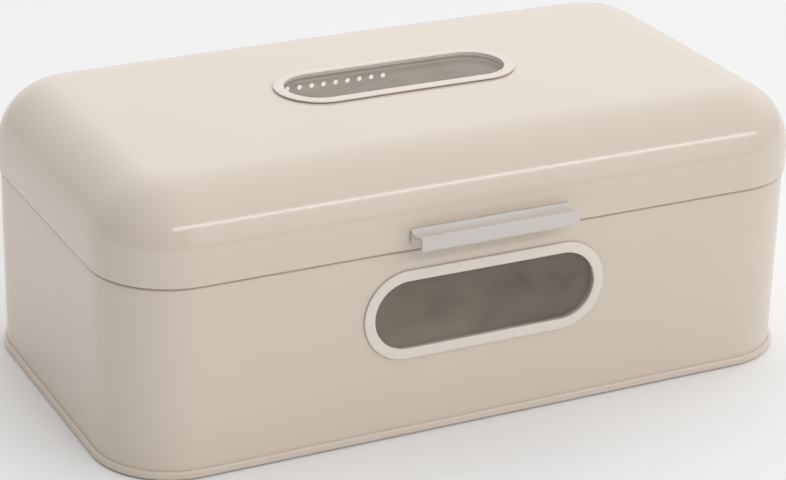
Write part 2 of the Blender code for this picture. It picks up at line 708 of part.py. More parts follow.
def make_rivets(assembly, group_name, group, face, height):
    for place_x, side in hinge_places():
        for way, way_name in ((-1, "outer"), (1, "inner")):
            offset = way * math.copysign(RIVET_SPACING / 2, -place_x)
            name = f"hinge_{side}_{group_name}_rivet_{way_name}"
            spin(assembly.add(name, turned(name, rivet_profile()), group, STEEL,
                              (place_x + offset, face, height), (-90, 0, 0)))


def main():
    clear_scene()
    assembly = Assembly()
    make_base_wall(assembly)
    make_base_bottom(assembly)
    make_feet(assembly)
    make_window(assembly, "front_window", assembly.body,
                (0, WALL_FRONT, FRONT_WINDOW_HEIGHT), (90, 0, 0), False)
    make_lid_shell(assembly)
    make_window(assembly, "top_window", assembly.lid, (0, TOP_WINDOW_BACK, HEIGHT), (0, 0, 0),
                True)
    make_handle(assembly)
    make_handle_screws(assembly)
    for place_x, side in hinge_places():
        make_hinge(assembly, place_x, side)
    make_rivets(assembly, "base", assembly.body, WALL_BACK, base_rivet_height())
    make_rivets(assembly, "lid", assembly.lid, LID_BACK, lid_rivet_height())


main()
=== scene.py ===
"""Bread box with a lift-up lid: shells, trim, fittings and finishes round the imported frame.

Lengths are metres. Sections are lists of (out, up) points: out is level, measured from the
corner centres of an outline, and up is a height. Run as a script; each piece is an operator.
"""

import json
import math

import bmesh
import bpy
from bpy.props import FloatProperty, FloatVectorProperty, IntProperty, PointerProperty
from mathutils import Matrix, Vector


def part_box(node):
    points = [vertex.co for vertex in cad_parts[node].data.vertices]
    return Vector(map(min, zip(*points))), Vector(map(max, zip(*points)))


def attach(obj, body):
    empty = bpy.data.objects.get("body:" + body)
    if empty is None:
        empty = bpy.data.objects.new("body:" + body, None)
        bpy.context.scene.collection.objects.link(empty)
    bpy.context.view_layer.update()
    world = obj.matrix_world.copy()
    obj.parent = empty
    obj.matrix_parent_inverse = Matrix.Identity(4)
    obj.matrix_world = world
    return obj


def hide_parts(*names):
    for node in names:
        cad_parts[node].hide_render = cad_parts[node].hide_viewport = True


bl_info = {
    "name": "Bread box",
    "version": (1, 0, 0),
    "blender": (4, 5, 0),
    "location": "View3D > Sidebar > Bread box",
    "description": "Builds a painted sheet-metal bread box with windows and a hinged lid",
    "category": "Object",
}

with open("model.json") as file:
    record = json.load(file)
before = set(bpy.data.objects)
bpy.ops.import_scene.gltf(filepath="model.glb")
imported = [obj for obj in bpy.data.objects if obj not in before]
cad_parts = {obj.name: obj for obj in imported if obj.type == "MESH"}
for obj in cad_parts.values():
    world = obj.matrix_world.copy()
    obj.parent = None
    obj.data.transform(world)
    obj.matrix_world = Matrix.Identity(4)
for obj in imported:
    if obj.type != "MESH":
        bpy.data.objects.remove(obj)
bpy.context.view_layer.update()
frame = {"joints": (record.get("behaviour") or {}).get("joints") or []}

MM = 0.001
WELD = 1e-6
FLAT = 1e-7
CUT_DEPTH = 6 * MM
FASTENER_STEPS = 32


# Places and sizes that the frame gives


def span(node):
    """Lowest and highest corner, middle and size of a node at rest."""
    low, high = (Vector(corner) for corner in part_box(node))
    return low, high, (low + high) / 2, high - low


LID_LOW, LID_HIGH, LID_MIDDLE, LID_SIZE = span("lid_shell")
WALL_LOW = span("base_wall")[0]
BOTTOM_LOW, _, _, SEAM_SIZE = span("base_bottom")
FRONT_BEZEL, BEZEL_SIZE = span("front_window_bezel")[2:]
TOP_BEZEL = span("top_window_bezel")[2]
HANDLE_LOW, HANDLE_HIGH = span("handle")[:2]
SCREW = span("handle_screw_right")[2]
PIN, PIN_SIZE = span("hinge_right_pin")[2:]
BASE_RIVET = span("hinge_right_base_rivet_outer")[2]
INNER_RIVET = span("hinge_right_base_rivet_inner")[2]
LID_RIVET = span("hinge_right_lid_rivet_outer")[2]
FOOT_LOW, _, FOOT_MIDDLE, FOOT_SIZE = span("foot_rear_right")
MIDDLE_Y = LID_MIDDLE.y
BACK_FACE = MIDDLE_Y + LID_SIZE.y / 2
RIVET_PITCH = abs(BASE_RIVET.x - INNER_RIVET.x)
HINGE_AXIS = Vector(frame["joints"][0]["pos_m"])
HINGE_SIDES = ((-PIN.x, "left"), (PIN.x, "right"))
FRONT_TURN = Matrix.Rotation(math.radians(90), 4, "X")
BACK_TURN = Matrix.Rotation(math.radians(-90), 4, "X")
SIDE_TURN = Matrix.Rotation(math.radians(90), 4, "Y")
LEAF_TURN = Matrix.Rotation(math.radians(90), 4, "Z") @ FRONT_TURN


# Sizes and finishes that a user would change


def length(name, description, millimetres):
    return FloatProperty(name=name, description=description, default=millimetres * MM, min=0,
                         subtype="DISTANCE", unit="LENGTH")


def count(name, description, default):
    return IntProperty(name=name, description=description, default=default, min=1)


def colour(name, description, default):
    return FloatVectorProperty(name=name, description=description, default=default, size=3,
                               min=0, max=1, subtype="COLOR")


def factor(name, description, default):
    return FloatProperty(name=name, description=description, default=default, min=0, max=1,
                         subtype="FACTOR")


def angle(name, description, degrees):
    return FloatProperty(name=name, description=description, default=math.radians(degrees),
                         subtype="ANGLE", unit="ROTATION")


class BreadBoxShell(bpy.types.PropertyGroup):
    """Sizes of the painted sheets."""
    corner_radius: length("Corner radius", "Upright corners of the body, outside", 44.5)
    overhang: length("Lid overhang", "Lid stands out past the body's wall", 1.1)
    edge_radius: length("Edge radius", "Rounding between the lid's band and its top", 36)
    crown: length("Crown", "Rise of the lid's top towards its middle", 3)
    sheet: length("Sheet", "Thickness of the steel", 0.6)
    gap: length("Gap", "Clearance between pieces", 0.3)
    seam_height: length("Seam height", "Rolled seam at the foot", 4.5)
    seam_round: length("Seam rounding", "Rounded edges of the rolled seam", 0.9)
    floor_level: length("Floor level", "Middle of the bottom sheet", 4.4)
    rest_gap: length("Rest gap", "Lid's edge to the shoulder when closed", 0.5)
    shoulder_in: length("Shoulder depth", "Step from the wall in to the neck", 1.2)
    shoulder_rise: length("Shoulder rise", "Height of that step", 1.5)
    neck_rise: length("Neck rise", "Upright neck under the rolled rim", 3.9)
    rim_roll: length("Rim roll", "Radius of the rolled rim", 1.0)
    hem_bend: length("Hem bend", "Radius of the fold under the lid's edge", 0.55)
    hem_height: length("Hem height", "Inner leg of the folded edge", 4)
    corner_steps: count("Corner steps", "Facets of one upright corner", 24)
    long_steps: count("Long steps", "Facets along the front and back", 36)
    short_steps: count("Short steps", "Facets along the ends", 16)


class BreadBoxWindow(bpy.types.PropertyGroup):
    """Sizes of the two windows."""
    ring_width: length("Ring width", "Bezel round the opening", 6.25)
    ring_proud: length("Ring height", "Bezel stands out of the sheet", 1.5)
    ring_round: length("Ring rounding", "Rounded edges of the bezel", 0.6)
    ring_dish: length("Ring dish", "Outer edge is lower than the inner one", 0.15)
    collar: length("Collar", "Wall of the bezel through the sheet", 1.2)
    pane: length("Pane", "Thickness of the clear sheet", 1.5)
    pane_lap: length("Pane lap", "Pane reaches past the opening", 4.5)
    pane_raised: length("Pane middle", "Middle of the pane stands out of the sheet", 0.9)
    pane_chamfer: length("Pane chamfer", "Broken edge of the pane", 0.2)
    retainer_wall: length("Retainer wall", "Ring round the pane's edge", 1.5)
    retainer_floor: length("Retainer floor", "Ring behind the pane", 1.2)
    retainer_lip: length("Retainer lip", "Ring stays back from the opening", 1.0)
    steps: count("Steps", "Facets of half a round end", 20)


class BreadBoxHandle(bpy.types.PropertyGroup):
    """Sizes of the handle's section."""
    wall: length("Wall", "Thickness of the extrusion", 1.5)
    dip: length("Cove dip", "Hollow of the upper face", 1.9)
    plate_top: length("Plate top", "Flat top edge of the back plate", 0.5)
    face_top: length("Face top", "Flat top edge of the front face", 1.7)
    edge: length("Edge rounding", "Broken edges of the extrusion", 0.2)
    screw_radius: length("Screw radius", "Thread of the screws", 1.4)
    head_radius: length("Screw head radius", "Pan head", 2.8)
    head_height: length("Screw head height", "Pan head", 1.7)
    tip: length("Screw tip", "Screw end past the back plate", 1.2)
    cove_steps: count("Cove steps", "Facets of the hollow", 20)


class BreadBoxHinge(bpy.types.PropertyGroup):
    """Sizes of the hinges, rivets and vents."""
    width: length("Width", "Length of one hinge", 28)
    knuckle: length("Knuckle", "Outer radius of the knuckles", 2.3)
    bore: length("Bore", "Radius of the bore", 1.3)
    leaf: length("Leaf", "Thickness of the leaves", 1.0)
    leaf_height: length("Leaf height", "Flat part of the leaves", 12.5)
    leaf_jog: length("Leaf jog", "Where the base leaf turns out", 3.2)
    middle: length("Middle knuckle", "Length of the lid's knuckle", 11)
    play: length("Knuckle play", "Gap beside each knuckle", 0.3)
    stop_reach: length("Stop reach", "Axis to the tip of the stop lug", 4.4)
    stop_width: length("Stop width", "Thickness of the stop lug", 1.2)
    rivet_radius: length("Rivet radius", "Shank", 1.2)
    rivet_head: length("Rivet head", "Radius of the domed head", 2.3)
    rivet_rise: length("Rivet rise", "Height of the domed head", 1.0)
    tail_radius: length("Rivet tail", "Radius of the closed end", 2.0)
    tail_rise: length("Tail rise", "Height of the closed end", 0.7)
    vent_radius: length("Vent radius", "Punched holes", 1.7)
    vent_pitch: length("Vent pitch", "Hole to hole", 8.1)
    vent_rise: length("Vent rise", "Holes above the lid's edge", 8.6)
    vent_lip: length("Vent lip", "Paint bead round each hole", 0.12)
    vents: count("Vents", "Number of punched holes", 13)
    knuckle_steps: count("Knuckle steps", "Facets of a knuckle", 40)


class BreadBoxFinish(bpy.types.PropertyGroup):
    """Colours and gloss."""
    paint: colour("Paint", "Cream enamel", (0.71, 0.617, 0.527))
    paint_shade: colour("Paint shade", "Thin and shaded paint", (0.685, 0.592, 0.503))
    paint_roughness: factor("Paint roughness", "Gloss of the enamel", 0.13)
    ring: colour("Ring", "Moulded bezels", (0.83, 0.755, 0.685))
    ring_shade: colour("Ring shade", "Mottle of the bezels", (0.79, 0.715, 0.645))
    # The pane's warm tint is painted shade and painted reflection. It stands in for the warm,
    # shaded inside of the box seen through the windows, and it colours the pane's reflections.
    pane: colour("Pane", "Tint of the clear sheet's gloss", (0.70, 0.60, 0.495))
    pane_cover: factor("Pane haze", "How much the pane hides by haze", 0.16)
    # The aluminium's warmth is partly painted reflection: the grey metal is warmed to stand in for
    # the lid's cream paint mirrored in the handle's cove.
    metal: colour("Aluminium", "Satin anodised handle", (0.67, 0.63, 0.60))
    metal_shade: colour("Aluminium lines", "Darker drawn lines", (0.62, 0.583, 0.555))
    zinc: colour("Zinc", "Plated hinges and fasteners", (0.56, 0.56, 0.55))
    zinc_shade: colour("Zinc shade", "Darker spangle", (0.46, 0.46, 0.455))
    rubber: colour("Rubber", "Feet", (0.022, 0.022, 0.023))
    rubber_shade: colour("Rubber shade", "Paler bloom", (0.04, 0.04, 0.041))


class BreadBoxStage(bpy.types.PropertyGroup):
    """Floor and camera."""
    floor: colour("Floor", "Pale floor", (0.9, 0.9, 0.9))
    floor_size: length("Floor size", "Side of the floor", 14000)
    lens: FloatProperty(name="Lens", description="Focal length in millimetres", default=118.7,
                        min=20)
    distance: length("Distance", "Camera to the point it looks at", 1506)
    azimuth: angle("Azimuth", "Camera round the box", -26.795)
    elevation: angle("Elevation", "Camera above the floor", 23.458)
    roll: angle("Roll", "Camera about its own axis", 1.402)
    aim: FloatVectorProperty(name="Aim", description="Point that the camera looks at", size=3,
                             subtype="XYZ", unit="LENGTH", default=(-0.0028, -0.0023, 0.0657))


def sizes(*groups):
    """The scene's property groups with these short names."""
    return [getattr(bpy.context.scene, f"bread_box_{group}") for group in groups]


# Node trees

SOCKETS = {bool: "Bool", int: "Int", float: "Float", tuple: "Color"}
SURFACE = {"Color": "Color", "Roughness": "Float", "Height": "Float"}
ORANGE_PEEL_SCALE = 260.0
GRAIN_RELIEF = 0.35
SPECK_CHANCE = 0.8
SPECK_SHADE = 0.55
SPECK_VALUE = 0.6
CLOUD_SCALE = 60.0
LINE_SHARE = 0.7
GLOSS_POWER = 5.0
GLOSS_LEAST = 0.04
HAZE_SCALE = 55.0


def group_tree(name, inputs, outputs, kind="ShaderNodeTree"):
    """Node group; each socket is given by its name and either its default or its kind."""
    group = bpy.data.node_groups.new(name, kind)
    for way, sockets in (("INPUT", inputs), ("OUTPUT", outputs)):
        for label, given in sockets.items():
            family = given if isinstance(given, str) else SOCKETS[type(given)]
            made = group.interface.new_socket(name=label, in_out=way,
                                              socket_type=f"NodeSocket{family}")
            if family != given:
                made.default_value = given
    inner, outer = group.nodes.new("NodeGroupInput"), group.nodes.new("NodeGroupOutput")
    return group, inner.outputs, outer.inputs


def feed(tree, target, value):
    """Link an input to another node's output, or set its value."""
    if isinstance(value, bpy.types.NodeSocket):
        tree.links.new(value, target)
    else:
        target.default_value = value


def node(tree, kind, inputs=None, **properties):
    """Outputs of a new node whose properties are set and whose inputs are fed."""
    made = tree.nodes.new(kind)
    for key, value in properties.items():
        setattr(made, key, value)
    for key, value in (inputs or {}).items():
        feed(tree, made.inputs[key], value)
    return made.outputs


def mix_colour(tree, share, first, second):
    return node(tree, "ShaderNodeMix", {"Factor": share, 6: first, 7: second},
                data_type="RGBA")[2]


def maths(tree, operation, first, second, clamp=False):
    return node(tree, "ShaderNodeMath", {0: first, 1: second}, operation=operation,
                use_clamp=clamp)[0]


def noise(tree, vector, scale, detail=2.0, roughness=0.5):
    values = {"Vector": vector, "Scale": scale, "Detail": detail, "Roughness": roughness}
    return node(tree, "ShaderNodeTexNoise", values)["Fac"]


def surface_of(group, given, asked, colour, uneven, height):
    """Feed a finish group's outputs; the roughness spreads with a value about one half."""
    spread = maths(group, "MULTIPLY", maths(group, "SUBTRACT", uneven, 0.5),
                   given["Roughness Spread"])
    feed(group, asked["Color"], colour)
    rough = maths(group, "ADD", given["Roughness"], spread, clamp=True)
    feed(group, asked["Roughness"], rough)
    feed(group, asked["Height"], height)
    return group


def skin(name):
    """Mottle, fine grain and a few dust specks, for paint and for moulded plastic."""
    group, given, asked = group_tree(
        name, {"Base": (0.8, 0.8, 0.8, 1), "Shade": (0.7, 0.7, 0.7, 1), "Mottle Scale": 14.0,
               "Grain Scale": 900.0, "Grain Shade": 0.1, "Roughness": 0.3,
               "Roughness Spread": 0.05, "Speck Scale": 45.0, "Speck Size": 0.016}, SURFACE)
    place = node(group, "ShaderNodeTexCoord")["Object"]
    mottle = noise(group, place, given["Mottle Scale"], 3.0)
    grain = noise(group, place, given["Grain Scale"], 2.0, 0.6)
    peel = noise(group, place, ORANGE_PEEL_SCALE, 1.0)
    cells = node(group, "ShaderNodeTexVoronoi", {"Vector": place, "Scale": given["Speck Scale"]})
    chance = node(group, "ShaderNodeSeparateColor", {"Color": cells["Color"]})["Red"]
    near = maths(group, "LESS_THAN", cells["Distance"], given["Speck Size"])
    speck = maths(group, "MULTIPLY", near, maths(group, "GREATER_THAN", chance, SPECK_CHANCE))
    tint = mix_colour(group, mottle, given["Base"], given["Shade"])
    dark = node(group, "ShaderNodeHueSaturation", {"Color": tint, "Value": SPECK_VALUE})
    share = maths(group, "MAXIMUM", maths(group, "MULTIPLY", grain, given["Grain Shade"]),
                  maths(group, "MULTIPLY", speck, SPECK_SHADE))
    height = maths(group, "ADD", maths(group, "MULTIPLY", grain, GRAIN_RELIEF),
                   maths(group, "ADD", peel, speck))
    speckled = mix_colour(group, share, tint, dark["Color"])
    return surface_of(group, given, asked, speckled, mottle, height)


def drawn_lines(name):
    """Fine lines along X, for drawn, brushed and rolled metal."""
    group, given, asked = group_tree(
        name, {"Base": (0.6, 0.6, 0.6, 1), "Lines": (0.5, 0.5, 0.5, 1), "Line Scale": 1500.0,
               "Stretch": 0.012, "Roughness": 0.35, "Roughness Spread": 0.12}, SURFACE)
    place = node(group, "ShaderNodeTexCoord")["Object"]
    stretch = node(group, "ShaderNodeCombineXYZ", {"X": given["Stretch"], "Y": 1.0, "Z": 1.0})
    drawn = node(group, "ShaderNodeVectorMath", {0: place, 1: stretch["Vector"]},
                 operation="MULTIPLY")["Vector"]
    lines = noise(group, drawn, given["Line Scale"], 3.0, 0.65)
    share = maths(group, "ADD", maths(group, "MULTIPLY", lines, LINE_SHARE),
                  maths(group, "MULTIPLY", noise(group, place, CLOUD_SCALE), 1 - LINE_SHARE))
    lined = mix_colour(group, share, given["Base"], given["Lines"])
    return surface_of(group, given, asked, lined, lines, lines)


def coated(tree, shape, given, asked):
    """Plain geometry with a material, which is how every shape tree ends."""
    real = node(tree, "GeometryNodeRealizeInstances", {"Geometry": shape})["Geometry"]
    coat = node(tree, "GeometryNodeSetMaterial", {"Geometry": real, "Material": given["Material"]})
    feed(tree, asked["Geometry"], coat["Geometry"])
    return tree


def section_along_path(name):
    """Tree that carries a section along a path and closes its ends if asked."""
    tree, given, asked = group_tree(
        name, {"Path": "Object", "Section": "Object", "Fill Caps": False,
               "Material": "Material"}, {"Geometry": "Geometry"}, "GeometryNodeTree")
    path, section = (node(tree, "GeometryNodeObjectInfo", {"Object": given[key]})["Geometry"]
                     for key in ("Path", "Section"))
    upright = node(tree, "GeometryNodeSetCurveNormal", {"Curve": path}, mode="Z_UP")["Curve"]
    walls = node(tree, "GeometryNodeCurveToMesh", {"Curve": upright, "Profile Curve": section,
                                                   "Fill Caps": given["Fill Caps"]})["Mesh"]
    joined = node(tree, "GeometryNodeMergeByDistance", {"Geometry": walls, "Distance": WELD})
    return coated(tree, joined["Geometry"], given, asked)


def line_of_points(tree, number, pitch, axis):
    """Centred row of points along X or Y."""
    last = maths(tree, "SUBTRACT", number, 1.0)
    half = maths(tree, "MULTIPLY", maths(tree, "MULTIPLY", last, pitch), -0.5)
    start, step = (node(tree, "ShaderNodeCombineXYZ", {axis: value})["Vector"]
                   for value in (half, pitch))
    return node(tree, "GeometryNodeMeshLine", {"Count": number, "Start Location": start,
                                               "Offset": step}, mode="OFFSET")["Mesh"]


def rows_of_fittings(name):
    """Tree that repeats a fitting in rows and columns about the origin."""
    tree, given, asked = group_tree(
        name, {"Fitting": "Object", "Columns": 1, "Column Pitch": 0.01, "Rows": 1,
               "Row Pitch": 0.01, "Material": "Material"}, {"Geometry": "Geometry"},
        "GeometryNodeTree")
    made = node(tree, "GeometryNodeObjectInfo", {"Object": given["Fitting"]})["Geometry"]
    for line, axis in (("Column", "X"), ("Row", "Y")):
        points = line_of_points(tree, given[f"{line}s"], given[f"{line} Pitch"], axis)
        made = node(tree, "GeometryNodeInstanceOnPoints", {"Points": points,
                                                           "Instance": made})["Instances"]
    return coated(tree, made, given, asked)


def tree_named(maker):
    """A tree, made the first time that it is asked for."""
    return bpy.data.node_groups.get(maker.__name__) or maker(maker.__name__)


# Finishes


def finishes():
    """For each finish: its group, the group's values, relief, and the shader's own values."""
    look, = sizes("finish")
    return {
        "cream_enamel": (
            skin, {"Base": look.paint, "Shade": look.paint_shade, "Mottle Scale": 11.0,
                   "Grain Scale": 1100.0, "Grain Shade": 0.03,
                   "Roughness": look.paint_roughness, "Roughness Spread": 0.05},
            0.006 * MM, {"IOR": 1.5}),
        "moulded_ring": (
            skin, {"Base": look.ring, "Shade": look.ring_shade, "Mottle Scale": 60.0,
                   "Grain Scale": 1500.0, "Grain Shade": 0.12, "Roughness": 0.5,
                   "Roughness Spread": 0.08, "Speck Size": 0.0}, 0.06 * MM, {"IOR": 1.46}),
        "moulded_retainer": (
            skin, {"Base": look.paint, "Shade": look.paint_shade, "Mottle Scale": 40.0,
                   "Grain Scale": 1300.0, "Grain Shade": 0.1, "Roughness": 0.55,
                   "Speck Size": 0.0}, 0.05 * MM, {"IOR": 1.46}),
        # Clear pane: its warm base colour, shown through its gloss and haze, is a painted tint
        # standing in for the shaded inside of the box.
        "pane_sheet": (
            skin, {"Roughness": 0.08, "Roughness Spread": 0.04, "Speck Size": 0.0},
            0.001 * MM, {"Metallic": 0.35, "Base Color": (*look.pane, 1)}),
        # Handle: grey anodised aluminium, plus a warm tint that is a painted reflection of the
        # cream lid.
        "anodised_handle": (
            drawn_lines, {"Base": look.metal, "Lines": look.metal_shade, "Roughness": 0.42},
            0.004 * MM, {"Metallic": 0.3}),
        "plated_zinc": (
            drawn_lines, {"Base": look.zinc, "Lines": look.zinc_shade, "Stretch": 0.5,
                          "Line Scale": 700.0, "Roughness": 0.33, "Roughness Spread": 0.2},
            0.008 * MM, {"Metallic": 1.0}),
        "foot_rubber": (
            skin, {"Base": look.rubber, "Shade": look.rubber_shade, "Grain Scale": 1800.0,
                   "Roughness": 0.75, "Speck Size": 0.0}, 0.05 * MM, {"IOR": 1.5}),
    }


def let_through(tree, shader):
    """Faint haze on a clear sheet, and the gloss that clear plastic has at each angle."""
    facing = node(tree, "ShaderNodeLayerWeight")["Facing"]
    gloss = maths(tree, "ADD", maths(tree, "POWER", facing, GLOSS_POWER), GLOSS_LEAST)
    haze = noise(tree, node(tree, "ShaderNodeTexCoord")["Object"], HAZE_SCALE, 4.0)
    # The haze film shows the pane's painted warm tint, which stands in for the shaded inside of
    # the box.
    film = maths(tree, "MULTIPLY", haze, sizes("finish")[0].pane_cover)
    feed(tree, shader["Alpha"], maths(tree, "ADD", gloss, film, clamp=True))


def finished(name):
    """Material whose roughness, relief and uneven colour come from its group."""
    found = bpy.data.materials.get(name)
    if found:
        return found
    group, values, relief, own_values = finishes()[name]
    material = bpy.data.materials.new(name)
    material.use_nodes = True
    tree = material.node_tree
    shader = tree.nodes["Principled BSDF"].inputs
    for key, value in own_values.items():
        shader[key].default_value = value
    surface = node(tree, "ShaderNodeGroup",
                   {key: (*value, 1) if hasattr(value, "__len__") else value
                    for key, value in values.items()}, node_tree=tree_named(group))
    bump = node(tree, "ShaderNodeBump", {"Strength": 1.0, "Distance": relief,
                                         "Height": surface["Height"]})
    feed(tree, shader["Roughness"], surface["Roughness"])
    feed(tree, shader["Normal"], bump["Normal"])
    if "Base" in values:
        feed(tree, shader["Base Color"], surface["Color"])
    if name == "pane_sheet":
        let_through(tree, shader)
    return material


# Shapes


def arc(out, up, radius, start, end, steps):
    """Points of an arc round (out, up); angles in degrees, 0 outwards and 90 up."""
    angles = [math.radians(start + (end - start) * step / steps) for step in range(steps + 1)]
    return [(out + radius * math.cos(angle), up + radius * math.sin(angle)) for angle in angles]


def rounded_rectangle(half_x, half_y, corner_steps, long_steps, short_steps):
    """Centres and outward directions round a rounded rectangle, from its corner centres."""
    stations = []
    for quarter, (side, end) in enumerate(((1, 1), (-1, 1), (-1, -1), (1, -1))):
        centre = Vector((side * half_x, end * half_y))
        for step in range(corner_steps + 1):
            angle = math.radians(90 * (quarter + step / corner_steps))
            stations.append((centre, Vector((math.cos(angle), math.sin(angle)))))
        following = Vector((-end * half_x, side * half_y))
        direction = stations[-1][1]
        steps = short_steps if quarter % 2 else long_steps
        for step in range(1, steps):
            stations.append((centre.lerp(following, step / steps), direction))
    return stations


def swept(stations, section, closed=False):
    """Sheet or ring: a section carried round the stations of an outline."""
    shape = bmesh.new()
    rows = []
    for out, up in section:
        rows.append([shape.verts.new((*(centre + direction * out), up))
                     for centre, direction in stations])
    total = len(stations)
    for low, high in zip(rows, rows[1:] + (rows[:1] if closed else [])):
        for place in range(total):
            beside = (place + 1) % total
            shape.faces.new((low[place], low[beside], high[beside], high[place]))
    tidy_shape(shape, WELD)
    return shape


def tidy_shape(shape, distance):
    """Join doubles and drop flat faces."""
    bmesh.ops.remove_doubles(shape, verts=shape.verts, dist=distance)
    bmesh.ops.dissolve_degenerate(shape, edges=shape.edges, dist=FLAT)


def fill_middle(shape, half_x, half_y, level, shell):
    """Grid over the rectangle of the corner centres, joined to the sheet round it."""
    made = bmesh.ops.create_grid(shape, x_segments=shell.long_steps,
                                 y_segments=shell.short_steps, size=1)
    for vert in made["verts"]:
        vert.co = Vector((vert.co.x * half_x, vert.co.y * half_y, level))
    bmesh.ops.remove_doubles(shape, verts=shape.verts, dist=5 * WELD)


def crown_drop(x, y, shell):
    across = max(0, 1 - (2 * x / LID_SIZE.x) ** 2)
    along = max(0, 1 - (2 * (y - MIDDLE_Y) / LID_SIZE.y) ** 2)
    return shell.crown * (1 - across * along)


def linked(name, data):
    """Object with the given data, in the scene."""
    made = bpy.data.objects.new(name, data)
    bpy.context.scene.collection.objects.link(made)
    return made


def object_of(shape, name):
    """Object from a bmesh, smooth all over, with its faces outwards."""
    bmesh.ops.recalc_face_normals(shape, faces=shape.faces)
    mesh = bpy.data.meshes.new(name)
    shape.to_mesh(mesh)
    shape.free()
    mesh.shade_smooth()
    return linked(name, mesh)


def evaluated_mesh(piece):
    bpy.context.view_layer.update()
    graph = bpy.context.evaluated_depsgraph_get()
    mesh = bpy.data.meshes.new_from_object(piece.evaluated_get(graph))
    mesh.name = piece.name
    return mesh


def cleaned(mesh, distance, outwards=False):
    """Tidy a mesh, and turn every face outwards if asked."""
    shape = bmesh.new()
    shape.from_mesh(mesh)
    tidy_shape(shape, distance)
    if outwards:
        bmesh.ops.recalc_face_normals(shape, faces=shape.faces)
    shape.to_mesh(mesh)
    shape.free()


def sharpen(piece, angle):
    piece.data.set_sharp_from_angle(angle=math.radians(angle))


def settle(piece, sharp=32):
    """Apply what the modifiers made, and mark its sharp edges."""
    old = piece.data
    piece.data = evaluated_mesh(piece)
    piece.modifiers.clear()
    bpy.data.meshes.remove(old)
    cleaned(piece.data, 2 * WELD)
    piece.data.shade_smooth()
    sharpen(piece, sharp)


def place_mesh(piece, place, turn=Matrix()):
    """Turn a piece's mesh about the origin and move it to its place."""
    piece.data.transform(Matrix.Translation(place) @ turn)
    piece.data.update()


def thicken(piece, thickness):
    sheet = piece.modifiers.new("sheet", "SOLIDIFY")
    sheet.thickness = thickness
    sheet.offset = 0
    sheet.use_even_offset = True


def cut(piece, cutter):
    """Take the cutter's shape out of a piece, and drop the cutter."""
    piece.modifiers.new("cut", "BOOLEAN").object = cutter
    mesh = evaluated_mesh(piece)
    piece.modifiers.clear()
    piece.data = mesh
    bpy.data.objects.remove(cutter)


def soften(piece, width, angle=40):
    bevel = piece.modifiers.new("edges", "BEVEL")
    bevel.width = width
    bevel.segments = 2
    bevel.limit_method = "ANGLE"
    bevel.angle_limit = math.radians(angle)


def dress(piece, finish, body, slot, *replaced):
    """Finish, body, record slot and the frame's nodes that a piece stands for; the record slot is
    not used.
    """
    piece.data.materials.clear()
    piece.data.materials.append(finished(finish))
    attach(piece, body)
    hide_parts(*replaced)


def turned(name, profile, steps=40):
    """Solid of revolution about Z from (radius, height) points, top to bottom."""
    shape = bmesh.new()
    verts = [shape.verts.new((radius, 0, height)) for radius, height in profile]
    edges = [shape.edges.new(pair) for pair in zip(verts, verts[1:])]
    bmesh.ops.spin(shape, geom=verts + edges, cent=(0, 0, 0), axis=(0, 0, 1),
                   angle=2 * math.pi, steps=steps)
    tidy_shape(shape, FLAT)
    return object_of(shape, name)


def curve_object(name, loops, dimensions="3D", cyclic=True):
    """Curve with a spline through the level points of each loop."""
    curve = bpy.data.curves.new(name, "CURVE")
    curve.dimensions = dimensions
    for loop in loops:
        spline = curve.splines.new("POLY")
        spline.points.add(len(loop) - 1)
        for point, place in zip(spline.points, loop):
            point.co = (*place, 0, 1)
        spline.use_cyclic_u = cyclic
    return linked(name, curve)


def outlined(name, loops, thickness):
    """Plate or bar with the first loop as its outline and the others as holes, along Z."""
    holder = curve_object(name, loops, "2D")
    holder.data.fill_mode = "BOTH"
    holder.data.extrude = thickness / 2
    shape = bmesh.new()
    shape.from_mesh(evaluated_mesh(holder))
    bpy.data.objects.remove(holder)
    bmesh.ops.remove_doubles(shape, verts=shape.verts, dist=FLAT)
    return object_of(shape, name)


def grown(name, maker, values):
    """Plain mesh object that a tree makes from the given inputs, whose objects are dropped."""
    piece = linked(name, bpy.data.meshes.new(name))
    modifier = piece.modifiers.new(name, "NODES")
    modifier.node_group = tree_named(maker)
    for item in modifier.node_group.interface.items_tree:
        if item.in_out == "INPUT" and item.name in values:
            modifier[item.identifier] = values[item.name]
    settle(piece)
    for value in values.values():
        if isinstance(value, bpy.types.Object):
            bpy.data.objects.remove(value)
    cleaned(piece.data, WELD, outwards=True)
    return piece


def carried(name, section, path, cyclic=True):
    """Piece whose section of (out, up) points is carried along a level path."""
    across = curve_object("section", [[(out, -up) for out, up in section]])
    return grown(name, section_along_path,
                 {"Path": curve_object("path", [path], cyclic=cyclic), "Section": across,
                  "Fill Caps": not cyclic})


def fitting_rows(name, fitting, columns, pitch, rows=1, row_pitch=0.0):
    return grown(name, rows_of_fittings,
                 {"Fitting": fitting, "Columns": columns, "Column Pitch": pitch, "Rows": rows,
                  "Row Pitch": row_pitch})


# Places that the pieces share

WINDOW_LONG_STEPS = 30
PUNCH_STEPS = 34


def body_outline(shell):
    half_x = LID_SIZE.x / 2 - shell.overhang - shell.corner_radius
    half_y = LID_SIZE.y / 2 - shell.overhang - shell.corner_radius
    stations = rounded_rectangle(half_x, half_y, shell.corner_steps, shell.long_steps,
                                 shell.short_steps)
    return half_x, half_y, stations


def stadium_stations(steps):
    half = (BEZEL_SIZE.x - BEZEL_SIZE.z) / 2
    return rounded_rectangle(half, 0, steps, WINDOW_LONG_STEPS, 1)


def window_radius(window):
    return BEZEL_SIZE.z / 2 - window.ring_width


def window_seat(where, shell):
    """Place and turn of a window, whose pieces are made level about the origin."""
    if where == "top":
        return (0, TOP_BEZEL.y, LID_HIGH.z), Matrix()
    wall_face = MIDDLE_Y - LID_SIZE.y / 2 + shell.overhang
    return (0, wall_face, FRONT_BEZEL.z), FRONT_TURN


